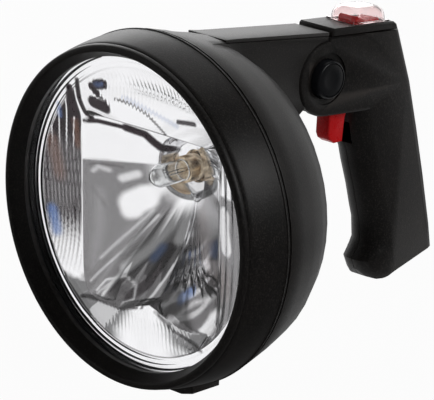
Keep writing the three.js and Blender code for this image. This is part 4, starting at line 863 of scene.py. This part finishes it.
@dataclass
class LampFront:
    """Bezel, seal and glass."""

    segments: int = 240
    glass_segments: int = 900
    opening: float = 78.2
    lip: float = 85.0
    seam: float = 88.3
    bore: float = 83.6
    depth: float = 27.5
    flange_front: float = 6.8
    flange_back: float = 9.4
    glass_radius: float = 82.8
    glass_front: float = 11.0
    glass: float = 3.0
    crown: float = 2.4
    rib_pitch: float = 2.6
    rib_depth: float = 0.28
    rib_centre: float = 4.0
    rib_half_width: float = 42.0
    lip_profile: tuple[tuple[float, float], ...] = (
        (81.2, 1.0), (81.5, 0.6), (81.75, 0.15), (82.0, 0.0), (83.8, 0.0), (84.2, 0.08), (84.7, 0.45),
        (84.95, 0.9), (85.2, 1.8), (85.35, 2.6), (85.2, 2.9), (85.2, 3.3), (85.55, 3.6),
    )
    side_steps: int = 13
    bead_back: float = 2.4

    def bezel(self) -> None:
        """Build the moulded ring with its rounded lip, inner slope and fine ridges."""
        profile = [
            (self.opening, self.flange_back), (self.opening, self.flange_front + 0.3),
            (self.opening + 0.25, self.flange_front), *self.lip_profile,
        ]
        rise = self.seam - self.lip
        for i in range(1, self.side_steps):
            share = 0.12 + 0.76 * i / self.side_steps
            profile.append((self.lip + rise * (1 - (1 - share) ** 2), 1 + (self.depth - 1) * share))
        foot = self.depth - self.bead_back
        profile += [
            (self.seam, foot), (self.seam + 0.3, foot + 0.2), (self.seam + 0.48, foot + 0.6),
            (self.seam + 0.3, foot + 1.0), (self.seam, foot + 1.2), (self.seam, self.depth - 0.3),
            (self.seam - 0.3, self.depth), (self.bore, self.depth), (self.bore, self.flange_back),
        ]
        ring = turned("bezel_moulding", profile, self.segments)
        dressed(ring, Body.HEAD, "black_plastic", ["bezel_ring"])

    def seal(self) -> None:
        """Build the rubber ring under the glass."""
        inner, outer = self.opening + 0.3, self.opening + 3.2
        front, back = self.flange_back + 0.3, self.flange_back + 1.3
        profile = [
            (inner, front + 0.2), (inner + 0.2, front), (outer - 0.2, front), (outer, front + 0.2),
            (outer, back - 0.2), (outer - 0.2, back), (inner + 0.2, back), (inner, back - 0.2),
        ]
        dressed(turned("lens_seal", profile, self.segments), Body.HEAD, "rubber", ["lens_gasket"])

    def rib(self, x: float, depth: float, z: float) -> float:
        """Give how far the pressed ribs sink the front of the glass."""
        if depth > self.glass_front + 0.01:
            return 0.0
        across = abs(x - self.rib_centre) / self.rib_half_width
        band = smooth(abs(z), 51, 53) * (1 - smooth(abs(z), 62, 64)) * (1 - smooth(across, 0.85, 1.0))
        return self.rib_depth * band * (0.5 + 0.5 * math.cos(x / self.rib_pitch * math.tau))

    def glass_pane(self) -> None:
        """Build the crowned lens with its two bands of pressed ribs."""
        clear, glass_back = self.opening - 0.5, self.glass_front + self.glass
        shares = [0.002] + [i / 44 for i in range(1, 44)]
        front = [(clear * s, self.glass_front - self.crown * (1 - s * s)) for s in shares]
        back = [(r, y + self.glass) for r, y in reversed(front)]
        profile = front + [
            (clear, self.glass_front), (self.glass_radius - 0.4, self.glass_front),
            (self.glass_radius, self.glass_front + 0.4), (self.glass_radius, glass_back - 0.4),
            (self.glass_radius - 0.4, glass_back), (clear, glass_back),
        ] + back
        piece = turned("lens_pane", profile, self.glass_segments, self.rib)
        shell = bmesh.new()
        shell.from_mesh(piece.data)
        axis_rise = LAMP.rise * MM
        middle = [
            v for v in shell.verts if math.hypot(v.co.x, v.co.z - axis_rise) < clear * 0.003 * MM]
        bmesh.ops.remove_doubles(shell, verts=middle, dist=clear * 0.006 * MM)
        shell.to_mesh(piece.data)
        shell.free()
        shade(piece, 50)
        dressed(piece, Body.HEAD, "lens_glass", ["lens"])

    def build(self) -> None:
        """Build all of the front."""
        self.bezel()
        self.seal()
        self.glass_pane()


@dataclass(frozen=True)
class Moulding:
    """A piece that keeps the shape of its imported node, with softer edges."""

    name: str
    node: str
    body: Body
    slot: str
    round_mm: float
    sharp_deg: float = SHARP_DEG
    segments: int = 2

    def build(self) -> None:
        """Build and dress the piece."""
        piece = refined(self.name, self.node, self.round_mm, self.segments, self.sharp_deg)
        dressed(piece, self.body, self.slot, [self.node])


@dataclass
class Mouldings:
    """The pieces of the housing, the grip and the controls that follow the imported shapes."""

    parts: tuple[Moulding, ...] = (
        Moulding("housing_moulding", "rear_housing", Body.HEAD, "black_plastic", 0.35),
        Moulding("neck_cover_moulding", "neck_cover", Body.HEAD, "black_plastic", 0.25),
        Moulding("clamp_moulding", "bezel_clamp", Body.HEAD, "black_plastic", 0.3),
        Moulding("clamp_screw_head", "clamp_screw", Body.HEAD, "zinc_steel", 0.15),
        Moulding("bulb_capsule", "bulb_glass", Body.HEAD, "bulb_glass", 0.0),
        Moulding("bulb_holder", "bulb_base", Body.HEAD, "brass", 0.3),
        Moulding("grip_half_right", "grip_right", Body.HANDLE, "black_plastic", 0.3),
        Moulding("grip_half_left", "grip_left", Body.HANDLE, "black_plastic", 0.3),
        Moulding("switch_plate_moulding", "switch_plate", Body.HANDLE, "black_plastic", 0.3),
        Moulding("switch_rocker", "rocker", Body.ROCKER, "red_plastic", 0.35),
        Moulding("switch_boot_clear", "switch_boot", Body.HANDLE, "clear_boot", 0.0),
        Moulding("trigger_moulding", "trigger", Body.TRIGGER, "red_plastic", 0.5, 30.0, 3),
        Moulding("button_sleeve", "lock_button", Body.BUTTON, "dark_plastic", 0.15),
        Moulding("button_face", "button_cap", Body.BUTTON, "dark_plastic", 0.15),
        Moulding("hinge_bolt_head", "hinge_bolt", Body.BUTTON, "zinc_steel", 0.15),
        Moulding("inlet_grommet", "cable_inlet", Body.HANDLE, "rubber", 0.3),
    )

    def build(self) -> None:
        """Build every moulding."""
        for part in self.parts:
            part.build()


@dataclass(frozen=True)
class SprungPiece:
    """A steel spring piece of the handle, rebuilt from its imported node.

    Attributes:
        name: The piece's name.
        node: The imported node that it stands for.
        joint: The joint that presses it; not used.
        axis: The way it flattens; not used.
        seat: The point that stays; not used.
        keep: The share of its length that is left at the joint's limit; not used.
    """

    name: str
    node: str
    joint: str
    axis: Point
    seat: Point
    keep: float

    def build(self) -> None:
        """Build and dress the piece."""
        piece = refined(self.name, self.node, 0.0)
        dressed(piece, Body.HANDLE, "spring_steel", [self.node])
        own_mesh(piece)


@dataclass
class Springs:
    """The coil under the hinge button and the leaf behind the trigger."""

    parts: tuple[SprungPiece, ...] = (
        SprungPiece("lock_coil", "lock_spring", "lock_press", (1, 0, 0), (2.22, -55.64, 71.45), 0.48),
        SprungPiece("switch_blade", "switch_leaf", "trigger_pull", (0, 1, 0), (0, -28.3, 48), 0.5),
    )

    def build(self) -> None:
        """Build both springs."""
        for part in self.parts:
            part.build()


def dress_packed_nodes() -> None:
    """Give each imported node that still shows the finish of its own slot."""
    slots = {part["node"]: part["material_slot"] for part in frame["record"]["subparts"]}
    for name, node in frame["nodes"].items():
        if node.hide_render:
            continue
        for place in node.material_slots:
            place.material = finish(slots[name])
        LOG.info("%s keeps its packed shape in %s", name, slots[name])


@dataclass
class Studio:
    """Floor, soft lights and the camera."""

    azimuth: float = 47.33
    elevation: float = 18.09
    distance: float = 1.7
    focal_px: float = 3533.1
    width_px: float = 434.0
    height_px: float = 400.0
    rim_px: tuple[float, float] = (120.2, 218.9)
    sensor_mm: float = 36.0
    level: float = 0.3
    room_dark: float = 0.03
    room_pale: float = 0.9
    room_top: float = 0.05
    glass_dark: float = 0.2
    floor_gloss: float = 0.05
    floor_gloss_pale: float = 0.6
    floor_pale_spot: tuple[float, float] = (-0.1, 0.15)
    floor_glow: float = 0.95
    floor_half_width: float = 4.0
    floor_steps: int = 24
    floor_drop: float = 54.0
    aim_depth: float = 60.0
    lights: tuple[tuple[str, Point, float, float], ...] = (
        ("top_softbox", (-0.3, 0.4, 1.15), 0.9, 1.5),
        ("right_softbox", (1.1, 0.35, 0.6), 0.4, 2.6),
        ("front_softbox", (-0.7, -1.2, 0.6), 0.7, 0.6),
        ("left_softbox", (-1.1, 0.7, 0.5), 0.8, 3.0),
    )

    def camera(self) -> None:
        """Place the camera at the photograph's angle, with no shift."""
        a, e = math.radians(self.azimuth), math.radians(self.elevation)
        back = Vector((math.sin(a) * math.cos(e), -math.cos(a) * math.cos(e), math.sin(e)))
        right = Vector((math.cos(a), math.sin(a), 0.0))
        up = back.cross(right)
        aside = (self.width_px / 2 - self.rim_px[0]) / self.focal_px
        above = (self.rim_px[1] - self.height_px / 2) / self.focal_px
        away = (back - right * aside - up * above).normalized()
        level = (right - away * right.dot(away)).normalized()
        turn = Matrix((level, away.cross(level), away)).transposed()
        data = bpy.data.cameras.new("camera")
        data.sensor_width = self.sensor_mm
        data.lens = self.focal_px / self.width_px * self.sensor_mm
        camera = bpy.data.objects.new("camera", data)
        place = Matrix.Translation(LAMP.row(0, 0, 0) + back * self.distance)
        camera.matrix_world = place @ turn.to_4x4()
        bpy.context.scene.collection.objects.link(camera)
        bpy.context.scene.camera = camera

    def floor(self) -> None:
        """Lay a pale floor that keeps the shadow, below the tilted head and clear from below.

        Gloss sees it pale near the lamp and behind it on the left, and dark elsewhere.
        """
        reach, steps = self.floor_half_width, self.floor_steps
        low = CAD_BOX[0].z - self.floor_drop * MM
        points, faces = [], []
        for i in range(steps + 1):
            for k in range(steps + 1):
                x, y = (i / steps - 0.5) * 2 * reach, (k / steps - 0.5) * 2 * reach
                points.append(Vector((x, y, low)))
        for i in range(steps):
            for k in range(steps):
                here = i * (steps + 1) + k
                faces.append((here, here + 1, here + steps + 2, here + steps + 1))
        floor = mesh_piece("floor", points, faces)
        if floor.data.polygons[0].normal.z < 0:
            floor.data.flip_normals()
        material = new_material("backdrop_paper")
        tree = material.node_tree
        ray = add_node(tree, "ShaderNodeLightPath")
        seen = add_node(
            tree, "ShaderNodeMath", {"operation": "MAXIMUM"},
            {"0": (ray, "Is Camera Ray"), "1": (ray, "Is Transmission Ray")})
        share = add_node(
            tree, "ShaderNodeMath", {"operation": "MULTIPLY", "1": self.floor_glow},
            {"0": (seen, "Value")})
        paper = add_node(tree, "ShaderNodeBsdfDiffuse", {"Color": (0.8, 0.8, 0.8, 1.0)})
        glow = add_node(tree, "ShaderNodeEmission", {"Color": WHITE, "Strength": 1.0})
        side = add_node(tree, "ShaderNodeNewGeometry")
        split = add_node(tree, "ShaderNodeSeparateXYZ", None, {"Vector": (side, "Position")})
        lean = add_node(
            tree, "ShaderNodeMath", {"operation": "SUBTRACT"}, {"0": (split, "Y"), "1": (split, "X")})
        fade = add_node(
            tree, "ShaderNodeMapRange",
            {**SOFT, "From Min": 0.0, "From Max": 0.35,
             "To Min": self.floor_gloss, "To Max": self.floor_gloss_pale}, {"Value": (lean, "Value")})
        apart = add_node(
            tree, "ShaderNodeVectorMath", {"operation": "DISTANCE", "1": (*self.floor_pale_spot, low)},
            {"0": (side, "Position")})
        near = add_node(
            tree, "ShaderNodeMapRange",
            {**SOFT, "From Min": 0.12, "From Max": 0.32,
             "To Min": self.floor_gloss_pale, "To Max": self.floor_gloss}, {"Value": (apart, "Value")})
        pale = add_node(
            tree, "ShaderNodeMath", {"operation": "MAXIMUM"},
            {"0": (fade, "Result"), "1": (near, "Result")})
        dim = add_node(
            tree, "ShaderNodeEmission", {"Color": WHITE}, {"Strength": (pale, "Value")})
        mirrored = add_node(
            tree, "ShaderNodeMixShader", None,
            {"0": (ray, "Is Glossy Ray"), "1": (paper, "BSDF"), "2": (dim, "Emission")})
        mixed = add_node(
            tree, "ShaderNodeMixShader", None,
            {"0": (share, "Value"), "1": (mirrored, "Shader"), "2": (glow, "Emission")})
        clear = add_node(tree, "ShaderNodeBsdfTransparent")
        sheet = add_node(
            tree, "ShaderNodeMixShader", None,
            {"0": (side, "Backfacing"), "1": (mixed, "Shader"), "2": (clear, "BSDF")})
        add_node(tree, "ShaderNodeOutputMaterial", None, {"Surface": (sheet, "Shader")})
        floor.data.materials.append(material)

    def world(self) -> None:
        """Surround the scene with white, with a plain level to light by and a room to mirror.

        Gloss sees a room that is dark in front and above and pale behind on the left. It stays in place
        as the camera moves.
        """
        world = bpy.data.worlds.new("studio")
        world.use_nodes = True
        bpy.context.scene.world = world
        tree = world.node_tree
        tree.nodes.clear()
        ray = add_node(tree, "ShaderNodeLightPath")
        place = add_node(tree, "ShaderNodeTexCoord")
        split = add_node(tree, "ShaderNodeSeparateXYZ", None, {"Vector": (place, "Generated")})
        lean = add_node(
            tree, "ShaderNodeMath", {"operation": "SUBTRACT"}, {"0": (split, "Y"), "1": (split, "X")})
        behind = add_node(
            tree, "ShaderNodeMapRange",
            {**SOFT, "From Min": 0.45, "From Max": 1.1, "To Min": self.room_dark,
             "To Max": self.room_pale}, {"Value": (lean, "Value")})
        above = add_node(
            tree, "ShaderNodeMapRange",
            {**SOFT, "From Min": 0.35, "From Max": 0.65, "To Min": 1.0,
             "To Max": self.room_top}, {"Value": (split, "Z")})
        room_level = add_node(
            tree, "ShaderNodeMath", {"operation": "MULTIPLY"},
            {"0": (behind, "Result"), "1": (above, "Result")})
        ahead = add_node(
            tree, "ShaderNodeMapRange",
            {**SOFT, "From Min": 0.02, "From Max": 0.2, "To Min": 1.0,
             "To Max": self.glass_dark}, {"Value": (split, "Z")})
        plain = add_node(tree, "ShaderNodeBackground", {"Color": WHITE, "Strength": self.level})
        white = add_node(tree, "ShaderNodeBackground", {"Color": WHITE, "Strength": 1.0})
        room = add_node(
            tree, "ShaderNodeBackground", {"Color": WHITE}, {"Strength": (room_level, "Value")})
        through = add_node(
            tree, "ShaderNodeBackground", {"Color": WHITE}, {"Strength": (ahead, "Result")})
        glossy = add_node(
            tree, "ShaderNodeMixShader", None,
            {"0": (ray, "Is Glossy Ray"), "1": (plain, "Background"), "2": (room, "Background")})
        clear = add_node(
            tree, "ShaderNodeMixShader", None,
            {"0": (ray, "Is Transmission Ray"), "1": (glossy, "Shader"), "2": (through, "Background")})
        seen = add_node(
            tree, "ShaderNodeMixShader", None,
            {"0": (ray, "Is Camera Ray"), "1": (clear, "Shader"), "2": (white, "Background")})
        add_node(tree, "ShaderNodeOutputWorld", None, {"Surface": (seen, "Shader")})

    def lamps(self) -> None:
        """Hang the soft lights, each turned to the lamp's head."""
        for name, place, size, power in self.lights:
            data = bpy.data.lights.new(name, "AREA")
            data.size = size
            data.energy = power
            lamp = bpy.data.objects.new(name, data)
            lamp.location = place
            away = Vector(place) - LAMP.row(0, self.aim_depth, 0)
            lamp.rotation_euler = away.to_track_quat("Z", "Y").to_euler()
            bpy.context.scene.collection.objects.link(lamp)

    def build(self) -> None:
        """Set up the studio."""
        bpy.context.scene.view_settings.view_transform = "Standard"
        self.camera()
        self.floor()
        self.world()
        self.lamps()


def main() -> None:
    """Build the studio and every piece of the lamp."""
    logging.basicConfig(level=logging.INFO, format="%(message)s")
    Studio().build()
    LampFront().build()
    ReflectorBowl().build()
    Mouldings().build()
    Springs().build()
    dress_packed_nodes()


if __name__ == "__main__":
    main()
